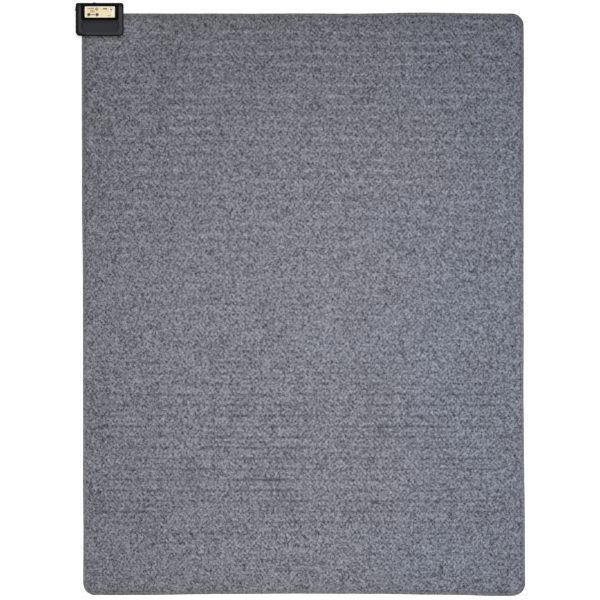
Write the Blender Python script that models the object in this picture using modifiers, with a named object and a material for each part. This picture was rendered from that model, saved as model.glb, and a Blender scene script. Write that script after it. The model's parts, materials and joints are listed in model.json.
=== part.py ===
"""A heated floor mat with a controller clamped on its corner, modelled piece by piece.

Metres, +Z up. The origin is the centre of the mat's underside, +X runs across the mat and +Y towards
the end that carries the controller. The mat is a stack of sheets round one serpentine heater wire.
"""

import math

import bmesh
import bpy
from mathutils import Matrix, Quaternion, Vector

MM = 0.001
GAP = 0.3 * MM

# Mat
MAT_WIDTH = 1.335
MAT_LENGTH = 1.760
MAT_CORNER = 36 * MM
BINDING_WALL = 0.6 * MM
BINDING_LIP = 8 * MM
CASE_MARGIN = 0.5 * MM

# Levels of the sheets, each (underside, top)
BACKING = (0.0, 0.8 * MM)
PAD = (1.1 * MM, 3.1 * MM)
FOIL = (3.4 * MM, 3.6 * MM)
WIRE_LEVEL = 4.9 * MM
FILM = (6.2 * MM, 6.4 * MM)
FELT_PRESSED = (6.7 * MM, 7.7 * MM)
FELT_TOP = 9.2 * MM
BINDING_TOP = 8.6 * MM

# Heater wire: pairs of runs side by side, so that both ends come back to the controller
WIRE_RADIUS = 1.0 * MM
WIRE_PAIRS = 27
WIRE_END_MARGIN = 24.5 * MM
WIRE_SIDE_MARGIN = 24 * MM
WIRE_OUTER_BEND = 32 * MM

# Controller case, in its own frame: its near left lower corner is the frame's origin
CASE_WIDTH = 145 * MM
CASE_DEPTH = 100 * MM
CASE_TOP = 32 * MM
CASE_WALL = 2.4 * MM
CASE_FLOOR = 2.0 * MM
CASE_OVERHANG_X = 22 * MM
CASE_OVERHANG_Y = 32 * MM
CASE_NEAR_RADIUS = 13 * MM
CASE_FAR_RADIUS = 7 * MM
CASE_EDGE_ROUND = 4.5 * MM
CASE_FOOT_ROUND = 1.2 * MM
PARTING = (7.7 * MM, 8.0 * MM)
SHELF_TOP = 6.4 * MM
SHELF_WIDTH = 16 * MM
CLAMP_DEPTH = 12 * MM

# Label bay on the top of the case, open at the far edge, and the shallow panel in front of it
BAY_X = (16.0 * MM, 130.6 * MM)
BAY_NEAR = 46.5 * MM
BAY_FLOOR = 29 * MM
BAY_CORNER = 6 * MM
ROOF_UNDER_BAY = 26.6 * MM
ROOF = 29.6 * MM
PANEL_X = (20 * MM, 128 * MM)
PANEL_Y = (9 * MM, 42 * MM)
PANEL_DEPTH = 0.6 * MM
INSERT = (29.3 * MM, 30.5 * MM)
LABEL = (30.8 * MM, 31.1 * MM)
LABEL_X = (27.9 * MM, 118.6 * MM)
LABEL_Y = (55.7 * MM, 88.9 * MM)

# Controls, in the case's frame
POWER_BUTTON = (40.2 * MM, 64.3 * MM)
TIMER_BUTTON = (65.0 * MM, 64.3 * MM)
LAMP = (105.8 * MM, 81.0 * MM)
BUTTON_RADIUS = 3.4 * MM
BUTTON_TOP = 32.3 * MM
BUTTON_FLANGE_RADIUS = 5 * MM
BUTTON_FLANGE = (25.1 * MM, 26.3 * MM)
STEM_RADIUS = 1.5 * MM
STEM_END = 17 * MM
LENS_RADIUS = 3.2 * MM
HOLE_RADIUS = 3.8 * MM
LEVER_X = 57 * MM
LEVER_LEVEL = 14.5 * MM
LEVER_TRAVEL = 18 * MM
GLAND_Y = 81 * MM
GLAND_LEVEL = (PARTING[0] + PARTING[1]) / 2

# Circuit board and what stands on it
BOARD_X = (15 * MM, 122 * MM)
BOARD_Y = (20 * MM, 93 * MM)
BOARD = (9.0 * MM, 10.6 * MM)
ON_BOARD = BOARD[1] + GAP
BOARD_POSTS = [(x * MM, y * MM) for x in (20, 116) for y in (26, 86)]
CASE_SCREWS = [(x * MM, y * MM) for x in (8, 137) for y in (8, 92)]
CLAMP_SCREWS = [(40 * MM, 9 * MM), (106 * MM, 9 * MM), (136 * MM, 24 * MM), (136 * MM, 58 * MM)]
CHANNELS_Y = (43.5 * MM, 31.5 * MM)
WIRE_RISE_X = 125.5 * MM
TERMINAL_LEVEL = 14 * MM
TERMINAL_BLOCK_X = (108 * MM, 119 * MM)

CASE_LEFT = -MAT_WIDTH / 2 - CASE_OVERHANG_X
CASE_NEAR = MAT_LENGTH / 2 + CASE_OVERHANG_Y - CASE_DEPTH
CASE_RIGHT = CASE_LEFT + CASE_WIDTH
CASE_FRAME = Vector((CASE_LEFT, CASE_NEAR, 0))


def clear_scene():
    """Removes what the file already holds, so that the script can be run again."""
    for obj in list(bpy.data.objects):
        bpy.data.objects.remove(obj, do_unlink=True)
    for group in list(bpy.data.collections):
        bpy.data.collections.remove(group)


def collection(name):
    group = bpy.data.collections.new(name)
    bpy.context.scene.collection.children.link(group)
    return group


clear_scene()
PARTS = collection("heated_mat")
CUTTERS = collection("cutters")


def material(name, colour, roughness, metallic=0.0):
    made = bpy.data.materials.new(name)
    made.use_nodes = True
    shader = made.node_tree.nodes["Principled BSDF"]
    shader.inputs["Base Color"].default_value = (*colour, 1.0)
    shader.inputs["Roughness"].default_value = roughness
    shader.inputs["Metallic"].default_value = metallic
    return made


FELT_GREY = material("felt_grey", (0.20, 0.205, 0.235), 0.95)
BINDING_GREY = material("binding_grey", (0.13, 0.135, 0.145), 0.9)
PAD_GREY = material("pad_grey", (0.32, 0.32, 0.33), 0.95)
BACKING_GREY = material("backing_grey", (0.10, 0.10, 0.11), 0.9)
FOIL_SILVER = material("foil_silver", (0.80, 0.80, 0.82), 0.3, 1.0)
FILM_CLEAR = material("film_clear", (0.75, 0.77, 0.78), 0.35)
WIRE_WHITE = material("wire_white", (0.70, 0.68, 0.62), 0.5)
CASE_BLACK = material("case_black", (0.030, 0.031, 0.034), 0.55)
INSERT_BLACK = material("insert_black", (0.004, 0.004, 0.005), 0.15)
LABEL_CREAM = material("label_cream", (0.90, 0.80, 0.52), 0.5)
BUTTON_BROWN = material("button_brown", (0.045, 0.035, 0.022), 0.5)
LENS_OLIVE = material("lens_olive", (0.28, 0.25, 0.07), 0.15)
RUBBER_BLACK = material("rubber_black", (0.02, 0.02, 0.02), 0.8)
STEEL = material("steel", (0.55, 0.55, 0.57), 0.35, 1.0)
BRASS = material("brass", (0.70, 0.52, 0.25), 0.35, 1.0)
BOARD_TAN = material("board_tan", (0.42, 0.27, 0.11), 0.5)
CHIP_BLACK = material("chip_black", (0.02, 0.02, 0.022), 0.45)
RELAY_BLUE = material("relay_blue", (0.03, 0.11, 0.32), 0.4)
CAN_BROWN = material("can_brown", (0.08, 0.035, 0.02), 0.4)
FILM_CAP_RED = material("film_cap_red", (0.42, 0.07, 0.03), 0.4)
CERAMIC_WHITE = material("ceramic_white", (0.78, 0.77, 0.72), 0.6)
CORE_STEEL = material("core_steel", (0.20, 0.20, 0.21), 0.4, 1.0)
TERMINAL_GREEN = material("terminal_green", (0.04, 0.22, 0.09), 0.45)
GLASS_TUBE = material("glass_tube", (0.75, 0.80, 0.80), 0.1)


def add_object(name, data, look, parent, location=(0, 0, 0)):
    """A part when it has a look, or a hidden cutter when look is None."""
    obj = bpy.data.objects.new(name, data)
    obj.parent = parent
    obj.location = location
    if look is None:
        CUTTERS.objects.link(obj)
        obj.hide_render = True
        obj.display_type = "WIRE"
    else:
        PARTS.objects.link(obj)
        data.materials.append(look)
    return obj


def empty(name, location):
    obj = bpy.data.objects.new(name, None)
    PARTS.objects.link(obj)
    obj.location = location
    return obj


def shade(mesh, angle=40):
    mesh.shade_smooth()
    mesh.set_sharp_from_angle(angle=math.radians(angle))


def fillet(corners, closed, step_deg):
    """Points of a path whose corners, each (x, y, z, radius), are rounded with arcs."""
    places = [Vector(c[:3]) for c in corners]
    points = []
    for i, corner in enumerate(corners):
        place = places[i]
        radius = corner[3]
        if radius == 0 or (not closed and i in (0, len(corners) - 1)):
            points.append(place)
            continue
        arriving = (place - places[i - 1]).normalized()
        leaving = (places[(i + 1) % len(places)] - place).normalized()
        turn = arriving.angle(leaving)
        centre = place + (leaving - arriving).normalized() * (radius / math.cos(turn / 2))
        spoke = place - arriving * (radius * math.tan(turn / 2)) - centre
        axis = arriving.cross(leaving).normalized()
        steps = max(1, round(math.degrees(turn) / step_deg))
        for k in range(steps + 1):
            points.append(centre + Quaternion(axis, turn * k / steps) @ spoke)
    return points


def rectangle(x_range, y_range, radii, step_deg=15):
    """A rounded rectangle, its corner radii from the near left one, anticlockwise."""
    (x0, x1), (y0, y1) = x_range, y_range
    places = [(x0, y0), (x1, y0), (x1, y1), (x0, y1)]
    return fillet([(x, y, 0, r) for (x, y), r in zip(places, radii)], True, step_deg)


def circle(centre, radius, sides=16):
    x, y = centre
    turns = [2 * math.pi * (k + 0.5) / sides for k in range(sides)]
    return [Vector((x + radius * math.cos(t), y + radius * math.sin(t), 0)) for t in turns]


def plate(name, outlines, levels, look, parent=None):
    """A flat piece between two levels. The first outline is its edge, and the others are holes."""
    curve = bpy.data.curves.new(name, "CURVE")
    curve.dimensions = "2D"
    curve.fill_mode = "BOTH"
    curve.extrude = (levels[1] - levels[0]) / 2
    for outline in outlines:
        spline = curve.splines.new("POLY")
        spline.points.add(len(outline) - 1)
        spline.use_cyclic_u = True
        for point, place in zip(spline.points, outline):
            point.co = (place.x, place.y, 0, 1)
    drawn = bpy.data.objects.new(name + "_outline", curve)
    CUTTERS.objects.link(drawn)
    graph = bpy.context.evaluated_depsgraph_get()
    mesh = bpy.data.meshes.new_from_object(drawn.evaluated_get(graph))
    bpy.data.objects.remove(drawn)
    mesh.transform(Matrix.Translation((0, 0, (levels[0] + levels[1]) / 2)))
    welded = bmesh.new()
    welded.from_mesh(mesh)
    bmesh.ops.remove_doubles(welded, verts=welded.verts, dist=1e-6)
    if len(outlines) == 1:
        flat = math.radians(1)
        bmesh.ops.dissolve_limit(welded, angle_limit=flat, verts=welded.verts, edges=welded.edges)
    bmesh.ops.recalc_face_normals(welded, faces=welded.faces)
    welded.to_mesh(mesh)
    welded.free()
    shade(mesh)
    return add_object(name, mesh, look, parent)


def box(name, x_range, y_range, z_range, look, parent=None):
    """A box whose origin is its centre."""
    ranges = (x_range, y_range, z_range)
    built = bmesh.new()
    bmesh.ops.create_cube(built, size=1)
    bmesh.ops.scale(built, verts=built.verts, vec=[high - low for low, high in ranges])
    mesh = bpy.data.meshes.new(name)
    built.to_mesh(mesh)
    built.free()
    centre = [(low + high) / 2 for low, high in ranges]
    return add_object(name, mesh, look, parent, centre)


def cylinder(name, centre, radius, levels, look, parent=None, sides=16):
    """An upright cylinder, its origin on its axis at its lower end."""
    height = levels[1] - levels[0]
    built = bmesh.new()
    bmesh.ops.create_cone(
        built, cap_ends=True, segments=sides, radius1=radius, radius2=radius, depth=height
    )
    bmesh.ops.translate(built, verts=built.verts, vec=(0, 0, height / 2))
    mesh = bpy.data.meshes.new(name)
    built.to_mesh(mesh)
    built.free()
    shade(mesh)
    return add_object(name, mesh, look, parent, (*centre, levels[0]))


def turned(name, profile, location, look, parent=None, sides=16, ring=False):
    """A profile of (radius, height) turned about Z. It runs down its outer side."""
    built = bmesh.new()
    points = [built.verts.new((radius, 0, height)) for radius, height in profile]
    for first, second in zip(points, points[1:]):
        built.edges.new((first, second))
    if ring:
        built.edges.new((points[-1], points[0]))
    mesh = bpy.data.meshes.new(name)
    built.to_mesh(mesh)
    built.free()
    obj = add_object(name, mesh, look, parent, location)
    screw = obj.modifiers.new("turn", "SCREW")
    screw.steps = sides
    screw.render_steps = sides
    screw.use_merge_vertices = True
    screw.merge_threshold = 1e-5
    return obj


def bevel(obj, width, segments=2):
    modifier = obj.modifiers.new("rounded_edges", "BEVEL")
    modifier.width = width
    modifier.segments = segments
    modifier.limit_method = "ANGLE"
    modifier.angle_limit = math.radians(35)


def round_rim(obj, level, width, segments):
    """Rounds the edges that bound a plate's face at this level."""
    mesh = obj.data
    weights = mesh.attributes.new("bevel_weight_edge", "FLOAT", "EDGE")
    for edge in mesh.edges:
        at_level = [abs(mesh.vertices[v].co.z - level) < GAP for v in edge.vertices]
        weights.data[edge.index].value = float(all(at_level))
    modifier = obj.modifiers.new("rounded_rim", "BEVEL")
    modifier.width = width
    modifier.segments = segments
    modifier.limit_method = "WEIGHT"
    modifier.use_clamp_overlap = False


def combine(obj, others, operation):
    for other in others:
        modifier = obj.modifiers.new(operation.lower() + "_" + other.name, "BOOLEAN")
        modifier.operation = operation
        modifier.object = other
        modifier.solver = "EXACT"


def cut(obj, *cutters):
    combine(obj, cutters, "DIFFERENCE")


def join(obj, *others):
    combine(obj, others, "UNION")


def mat_outline(inset, notch_x, notch_y, notch_radius=0.0):
    """The mat's outline moved in by inset, with a notch at the controller's corner."""
    x = MAT_WIDTH / 2 - inset
    y = MAT_LENGTH / 2 - inset
    radius = MAT_CORNER - inset
    corners = [
        (-x, -y, 0, radius),
        (x, -y, 0, radius),
        (x, y, 0, radius),
        (notch_x, y, 0, 0),
        (notch_x, notch_y, 0, notch_radius),
        (-x, notch_y, 0, 0),
    ]
    return fillet(corners, True, 15)


def on_case(points):
    """Points of the case's frame as points of the mat's."""
    return [CASE_FRAME + Vector((x, y, 0)) for x, y in points]


def build_mat():
    """The sheets of the mat and the binding round their edge."""
    beside = (CASE_RIGHT + CASE_MARGIN, CASE_NEAR - CASE_MARGIN, CASE_NEAR_RADIUS + CASE_MARGIN)
    reach = CASE_WALL + CLAMP_DEPTH
    clamped = (CASE_RIGHT - reach, CASE_NEAR + reach)
    under_binding = BINDING_WALL + GAP
    inside_binding = BINDING_LIP + 2 * GAP
    plate("nonslip_backing", [mat_outline(inside_binding, *beside)], BACKING, BACKING_GREY)
    plate("insulating_pad", [mat_outline(under_binding, *beside)], PAD, PAD_GREY)
    plate("heat_spreading_foil", [mat_outline(under_binding, *beside)], FOIL, FOIL_SILVER)
    plate("bonding_film", [mat_outline(under_binding, *beside)], FILM, FILM_CLEAR)
    through_felt = [circle(place[:2], 1.9 * MM) for place in on_case([CASE_SCREWS[2]] + CLAMP_SCREWS)]
    felt = plate(
        "surface_felt",
        [mat_outline(under_binding, *clamped)] + through_felt,
        FELT_PRESSED,
        FELT_GREY,
    )
    pile_levels = (FELT_PRESSED[1] - 0.4 * MM, FELT_TOP)
    pile = plate("felt_pile", [mat_outline(inside_binding, *beside)], pile_levels, None)
    join(felt, pile)
    build_binding(beside)


def build_binding(beside):
    """A U of tape round the mat's edge, open inwards, that stops at the case on both sides."""
    past_x = beside[0] - 5 * MM
    past_y = beside[1] + 5 * MM
    binding = plate("edge_binding", [mat_outline(0, *beside)], (0, BINDING_TOP), BINDING_GREY)
    hollow_levels = (BINDING_WALL, BINDING_TOP - BINDING_WALL)
    hollow = plate("binding_hollow", [mat_outline(BINDING_WALL, past_x, past_y)], hollow_levels, None)
    middle_levels = (-1 * MM, BINDING_TOP + 1 * MM)
    middle = plate("binding_middle", [mat_outline(BINDING_LIP, past_x, past_y)], middle_levels, None)
    cut(binding, hollow, middle)


def wire_corners():
    """The corners of the heater wire, from one terminal round the mat to the other."""
    runs = 2 * WIRE_PAIRS
    first = MAT_LENGTH / 2 - WIRE_END_MARGIN
    pitch = (MAT_LENGTH - 2 * WIRE_END_MARGIN) / (runs - 1)
    outer = MAT_WIDTH / 2 - WIRE_SIDE_MARGIN
    inner = outer - pitch
    tight = 0.49 * pitch

    def turn(x, run_from, run_to, radius):
        return [(x, first - run * pitch, WIRE_LEVEL, radius) for run in (run_from, run_to)]

    going = []
    coming = []
    for pair in range(0, WIRE_PAIRS - 1, 2):
        run = 2 * pair
        going += turn(outer, run, run + 3, WIRE_OUTER_BEND)
        going += turn(-inner, run + 3, run + 4, tight)
        coming += turn(inner, run + 1, run + 2, tight)
        coming += turn(-outer, run + 2, run + 5, WIRE_OUTER_BEND)
    far_turn = turn(inner, runs - 2, runs - 1, tight)

    jog = [
        (CASE_RIGHT + 18 * MM, CASE_NEAR + CHANNELS_Y[1], WIRE_LEVEL, 8 * MM),
        (CASE_RIGHT + 40 * MM, first - pitch, WIRE_LEVEL, 8 * MM),
    ]
    start = terminal_corners(CHANNELS_Y[0])
    end = terminal_corners(CHANNELS_Y[1]) + jog
    return start + going + far_turn + (end + coming)[::-1]


def terminal_corners(y):
    """The wire's way out of the terminal block, down past the board's edge and through the shelf."""
    face = TERMINAL_BLOCK_X[1] + GAP
    bend = 3 * MM
    places = [(face, TERMINAL_LEVEL, 0), (WIRE_RISE_X, TERMINAL_LEVEL, bend), (WIRE_RISE_X, WIRE_LEVEL, bend)]
    return [(CASE_LEFT + x, CASE_NEAR + y, level, radius) for x, level, radius in places]


def build_heater_wire():
    points = fillet(wire_corners(), False, 45)
    curve = bpy.data.curves.new("heater_wire", "CURVE")
    curve.dimensions = "3D"
    curve.bevel_depth = WIRE_RADIUS
    curve.bevel_resolution = 1
    curve.use_fill_caps = True
    spline = curve.splines.new("POLY")
    spline.points.add(len(points) - 1)
    for point, place in zip(spline.points, points):
        point.co = (*place, 1)
    add_object("heater_wire", curve, WIRE_WHITE, None)


def case_outline(inset=0.0):
    near = CASE_NEAR_RADIUS - inset
    far = CASE_FAR_RADIUS - inset
    x_range = (inset, CASE_WIDTH - inset)
    y_range = (inset, CASE_DEPTH - inset)
    return rectangle(x_range, y_range, (near, near, far, far))


def build_lower_case(frame):
    """The tray: floor, outer walls, the shelf under the felt's clamped margin, bosses and posts."""
    tray = plate("lower_case", [case_outline()], (0, PARTING[0]), CASE_BLACK, frame)
    round_rim(tray, 0, CASE_FOOT_ROUND, 2)
    inner_x = CASE_WIDTH - CASE_WALL
    inner_y = CASE_DEPTH - CASE_WALL
    shelf_left = CASE_OVERHANG_X - 3 * MM
    shelf_far = CASE_DEPTH - CASE_OVERHANG_Y + 2.5 * MM
    near_round = CASE_NEAR_RADIUS - CASE_WALL
    far_round = CASE_FAR_RADIUS - CASE_WALL
    corners = [
        (CASE_WALL, CASE_WALL, 0, near_round),
        (shelf_left, CASE_WALL, 0, 0),
        (shelf_left, SHELF_WIDTH, 0, 0),
        (CASE_WIDTH - SHELF_WIDTH, SHELF_WIDTH, 0, 0),
        (CASE_WIDTH - SHELF_WIDTH, shelf_far, 0, 0),
        (inner_x, shelf_far, 0, 0),
        (inner_x, inner_y, 0, far_round),
        (CASE_WALL, inner_y, 0, far_round),
    ]
    below = -5 * MM
    above = PARTING[0] + 5 * MM
    well = plate("tray_well", [fillet(corners, True, 15)], (CASE_FLOOR, above), None, frame)
    mat_x = (CASE_OVERHANG_X - CASE_MARGIN, CASE_WIDTH + 5 * MM)
    mat_y = (-5 * MM, CASE_DEPTH - CASE_OVERHANG_Y + CASE_MARGIN)
    felt_way = box("felt_way", mat_x, mat_y, (SHELF_TOP, above), None, frame)
    channel_x = (CASE_WIDTH - SHELF_WIDTH - 5 * MM, CASE_WIDTH + 5 * MM)
    channel_z = (WIRE_LEVEL - WIRE_RADIUS - 0.4 * MM, above)
    cut(tray, well, felt_way)
    for i, y in enumerate(CHANNELS_Y):
        half = WIRE_RADIUS + 0.6 * MM
        cut(tray, box(f"wire_channel_{i}", channel_x, (y - half, y + half), channel_z, None, frame))
    for i, place in enumerate(CASE_SCREWS):
        if i != 2:
            boss_levels = (CASE_FLOOR - 1 * MM, PARTING[0])
            join(tray, cylinder(f"tray_boss_{i}", place, 4 * MM, boss_levels, None, frame))
    for i, place in enumerate(BOARD_POSTS):
        post_levels = (CASE_FLOOR - 1 * MM, BOARD[0] - GAP)
        join(tray, cylinder(f"board_post_{i}", place, 3.2 * MM, post_levels, None, frame))
        cut(tray, cylinder(f"post_pilot_{i}", place, 1.4 * MM, (3.5 * MM, above), None, frame))
    for i, place in enumerate(CASE_SCREWS):
        cut(tray, cylinder(f"head_recess_{i}", place, 3.2 * MM, (below, 2.6 * MM), None, frame))
        cut(tray, cylinder(f"screw_way_{i}", place, 1.7 * MM, (below, above), None, frame))
    for i, place in enumerate(CLAMP_SCREWS):
        cut(tray, cylinder(f"clamp_pilot_{i}", place, 1.5 * MM, (2.6 * MM, above), None, frame))
    cut(tray, gland_hole("tray_gland_hole", frame))


def gland_hole(name, frame):
    """A round hole through the case's left wall, half in each shell, for the cord gland's neck."""
    hole = cylinder(name, (0, 0), 4.9 * MM, (-4 * MM, 4 * MM), None, frame, sides=24)
    hole.rotation_euler = (0, math.radians(90), 0)
    hole.location = (0, GLAND_Y, GLAND_LEVEL)
    return hole


def build_upper_case(frame):
    """The cover: rounded top edge, label bay open at the far edge, lever slot and screw bosses."""
    cover = plate("upper_case", [case_outline()], (PARTING[1], CASE_TOP), CASE_BLACK, frame)
    round_rim(cover, CASE_TOP, CASE_EDGE_ROUND, 5)
    below = PARTING[1] - 5 * MM
    inside = case_outline(CASE_WALL)
    hollow = plate("cover_hollow", [inside], (below, ROOF_UNDER_BAY), None, frame)
    near_x = (CASE_WALL, CASE_WIDTH - CASE_WALL)
    near_y = (CASE_WALL, BAY_NEAR - CASE_WALL)
    near_round = CASE_NEAR_RADIUS - CASE_WALL
    near_area = rectangle(near_x, near_y, (near_round, near_round, 0, 0))
    near_hollow = plate("near_hollow", [near_area], (ROOF_UNDER_BAY - 1 * MM, ROOF), None, frame)
    above = CASE_TOP + 5 * MM
    bay_area = rectangle(BAY_X, (BAY_NEAR, CASE_DEPTH + 5 * MM), (BAY_CORNER, BAY_CORNER, 0, 0))
    bay = plate("label_bay", [bay_area], (BAY_FLOOR, above), None, frame)
    panel_area = rectangle(PANEL_X, PANEL_Y, (4 * MM,) * 4, 30)
    panel = plate("shallow_panel", [panel_area], (CASE_TOP - PANEL_DEPTH, above), None, frame)
    cut(cover, hollow, near_hollow, bay, panel)
    for i, (x, y) in enumerate(CASE_SCREWS):
        ceiling = ROOF if y < BAY_NEAR else ROOF_UNDER_BAY
        boss_levels = (PARTING[1], ceiling + 1 * MM)
        join(cover, cylinder(f"cover_boss_{i}", (x, y), 3.6 * MM, boss_levels, None, frame))
        cut(cover, cylinder(f"cover_pilot_{i}", (x, y), 1.6 * MM, (below, 22 * MM), None, frame))
    for name, place in (("power", POWER_BUTTON), ("timer", TIMER_BUTTON), ("lamp", LAMP)):
        way_levels = (ROOF_UNDER_BAY - 5 * MM, above)
        cut(cover, cylinder(name + "_way", place, HOLE_RADIUS, way_levels, None, frame, sides=24))
    reach = LEVER_TRAVEL + 2.5 * MM + GAP
    slot_x = (LEVER_X - reach, LEVER_X + reach)
    slot_y = (CASE_DEPTH - CASE_WALL - 5 * MM, CASE_DEPTH + 5 * MM)
    slot_z = (LEVER_LEVEL - 2.4 * MM, LEVER_LEVEL + 2.4 * MM)
    groove_x = (LEVER_X - reach - 3 * MM, LEVER_X + reach + 3 * MM)
    groove_y = (CASE_DEPTH - CASE_WALL / 2, CASE_DEPTH + 5 * MM)
    groove_z = (LEVER_LEVEL - 4.4 * MM, LEVER_LEVEL + 4.4 * MM)
    cut(cover, box("lever_slot", slot_x, slot_y, slot_z, None, frame))
    cut(cover, box("lever_groove", groove_x, groove_y, groove_z, None, frame))
    cut(cover, gland_hole("cover_gland_hole", frame))


def build_label(frame):
    """The gloss insert in the bay and the printed label on it, both with holes for the controls."""
    holes = [circle(place, HOLE_RADIUS, 24) for place in (POWER_BUTTON, TIMER_BUTTON, LAMP)]
    x_range = (BAY_X[0] + 0.4 * MM, BAY_X[1] - 0.4 * MM)
    y_range = (BAY_NEAR + 0.4 * MM, CASE_DEPTH - CASE_EDGE_ROUND)
    radii = (BAY_CORNER, BAY_CORNER, 1 * MM, 1 * MM)
    plate("panel_insert", [rectangle(x_range, y_range, radii)] + holes, INSERT, INSERT_BLACK, frame)
    label_outline = rectangle(LABEL_X, LABEL_Y, (2 * MM,) * 4, 30)
    plate("control_label", [label_outline] + holes, LABEL, LABEL_CREAM, frame)


def build_button(name, place, frame):
    """A button cap with its flange and stem, and the tact switch and plunger under it."""
    x, y = place
    cap_profile = [
        (0, BUTTON_TOP),
        (BUTTON_RADIUS - 0.6 * MM, BUTTON_TOP),
        (BUTTON_RADIUS, BUTTON_TOP - 0.5 * MM),
        (BUTTON_RADIUS, BUTTON_FLANGE[1]),
        (BUTTON_FLANGE_RADIUS, BUTTON_FLANGE[1]),
        (BUTTON_FLANGE_RADIUS, BUTTON_FLANGE[0]),
        (STEM_RADIUS, BUTTON_FLANGE[0]),
        (STEM_RADIUS, STEM_END),
        (0, STEM_END),
    ]
    turned(name + "_button", cap_profile, (x, y, 0), BUTTON_BROWN, frame, sides=24)
    half = 3 * MM
    housing_z = (ON_BOARD, ON_BOARD + 3.8 * MM)
    housing = box(
        name + "_switch", (x - half, x + half), (y - half, y + half), housing_z, CHIP_BLACK, frame
    )
    well = cylinder(
        name + "_switch_well", place, 2 * MM, (ON_BOARD + 1.4 * MM, ON_BOARD + 6 * MM), None, frame
    )
    cut(housing, well)
    plunger_levels = (ON_BOARD + 2.6 * MM, STEM_END - GAP)
    cylinder(name + "_switch_plunger", place, 1.6 * MM, plunger_levels, CERAMIC_WHITE, frame)


def build_lamp(frame):
    """The lamp lens, which is a light pipe with a flange, and the lamp on the board."""
    lens_profile = [
        (0, 31.6 * MM),
        (2 * MM, 31.45 * MM),
        (LENS_RADIUS, 31.0 * MM),
        (LENS_RADIUS, 26.3 * MM),
        (4.4 * MM, 26.3 * MM),
        (4.4 * MM, 25.3 * MM),
        (2.2 * MM, 25.3 * MM),
        (2.2 * MM, 20.2 * MM),
        (0, 20.2 * MM),
    ]
    turned("lamp_lens", lens_profile, (*LAMP, 0), LENS_OLIVE, frame, sides=20)
    led_profile = [
        (0, 19.5 * MM),
        (1.6 * MM, 19.1 * MM),
        (2.5 * MM, 17.4 * MM),
        (2.5 * MM, 12.4 * MM),
        (2.9 * MM, 12.4 * MM),
        (2.9 * MM, ON_BOARD),
        (0, ON_BOARD),
    ]
    turned("indicator_led", led_profile, (*LAMP, 0), LENS_OLIVE, frame, sides=16)


def build_lever(frame):
    """The temperature lever, the wiper it is pushed onto, and the slide control on the board."""
    head_y = CASE_DEPTH - CASE_WALL / 2 + GAP
    tip = CASE_DEPTH + 1.8 * MM
    neck_end = CASE_DEPTH - CASE_WALL - 2.2 * MM
    pivot = empty("lever_slide", (LEVER_X, CASE_DEPTH, LEVER_LEVEL))
    pivot.parent = frame
    near_face = neck_end - CASE_DEPTH
    head_face = head_y - CASE_DEPTH
    tip_face = tip - CASE_DEPTH
    lever = box(
        "temperature_lever",
        (-5 * MM, 5 * MM),
        (head_face, tip_face),
        (-3.8 * MM, 3.8 * MM),
        BUTTON_BROWN,
        pivot,
    )
    bevel(lever, 0.7 * MM)
    neck_y = (near_face, head_face + 0.8 * MM)
    neck = box("lever_neck", (-2.5 * MM, 2.5 * MM), neck_y, (-2 * MM, 2 * MM), None, pivot)
    join(lever, neck)
    socket_y = (near_face - 5 * MM, head_face + 0.2 * MM)
    socket = box("lever_socket", (-1.8 * MM, 1.8 * MM), socket_y, (-0.9 * MM, 0.9 * MM), None, pivot)
    cut(lever, socket)
    wiper_y = (near_face - 7 * MM, head_face - 0.2 * MM)
    box("slide_wiper", (-1.5 * MM, 1.5 * MM), wiper_y, (-0.6 * MM, 0.6 * MM), STEEL, pivot)
    body_x = (LEVER_X - 27 * MM, LEVER_X + 27 * MM)
    body_y = (84 * MM, 92 * MM)
    body_z = (ON_BOARD, ON_BOARD + 7.2 * MM)
    body = box("slide_control", body_x, body_y, body_z, STEEL, frame)
    travel = LEVER_TRAVEL + 2.4 * MM
    way_x = (LEVER_X - travel, LEVER_X + travel)
    way_z = (LEVER_LEVEL - 1.1 * MM, LEVER_LEVEL + 1.1 * MM)
    cut(body, box("wiper_way", way_x, (87 * MM, 97 * MM), way_z, None, frame))


def build_gland(frame):
    """A rubber ring in the left wall with a flange on each side of it and a bore for the cord."""
    neck = 4.6 * MM
    flange = 5.6 * MM
    bore = 3.6 * MM
    wall = CASE_WALL + GAP
    profile = [
        (flange - 0.6 * MM, 1.8 * MM),
        (flange, 1.2 * MM),
        (flange, GAP),
        (neck, GAP),
        (neck, -wall),
        (flange, -wall),
        (flange, -wall - 1.4 * MM),
        (bore, -wall - 1.4 * MM),
        (bore, 1.8 * MM),
    ]
    gland = turned(
        "cord_gland", profile, (0, GLAND_Y, GLAND_LEVEL), RUBBER_BLACK, frame, sides=24, ring=True
    )
    gland.rotation_euler = (0, math.radians(-90), 0)


def build_clamps(frame):
    """The two bars that press the felt's margin onto the shelf."""
    levels = (PARTING[1], PARTING[1] + 3 * MM)
    near_holes = [circle(place, 1.6 * MM) for place in CLAMP_SCREWS[:2]]
    near_bar = rectangle((26 * MM, 120 * MM), (4 * MM, 14 * MM), (1.5 * MM,) * 4, 45)
    plate("near_clamp_bar", [near_bar] + near_holes, levels, CHIP_BLACK, frame)
    side_holes = [circle(place, 1.6 * MM) for place in CLAMP_SCREWS[2:]]
    side_bar = rectangle((131 * MM, 141 * MM), (18 * MM, 66 * MM), (1.5 * MM,) * 4, 45)
    plate("side_clamp_bar", [side_bar] + side_holes, levels, CHIP_BLACK, frame)


def screw(name, place, head, shank, frame):
    """A pan-head screw. head is (radius, seat level, top level) and shank (radius, end level)."""
    head_radius, seat, top = head
    shank_radius, end = shank
    slope = 0.3 * (top - seat)
    point = end + math.copysign(1.2 * MM, seat - end)
    profile = [
        (0, top),
        (head_radius - abs(slope), top),
        (head_radius, top - slope),
        (head_radius, seat),
        (shank_radius, seat),
        (shank_radius, point),
        (0.3 * MM, end),
        (0, end),
    ]
    if top < seat:
        profile.reverse()
    turned(name, profile, (*place, 0), STEEL, frame, sides=12)


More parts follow.
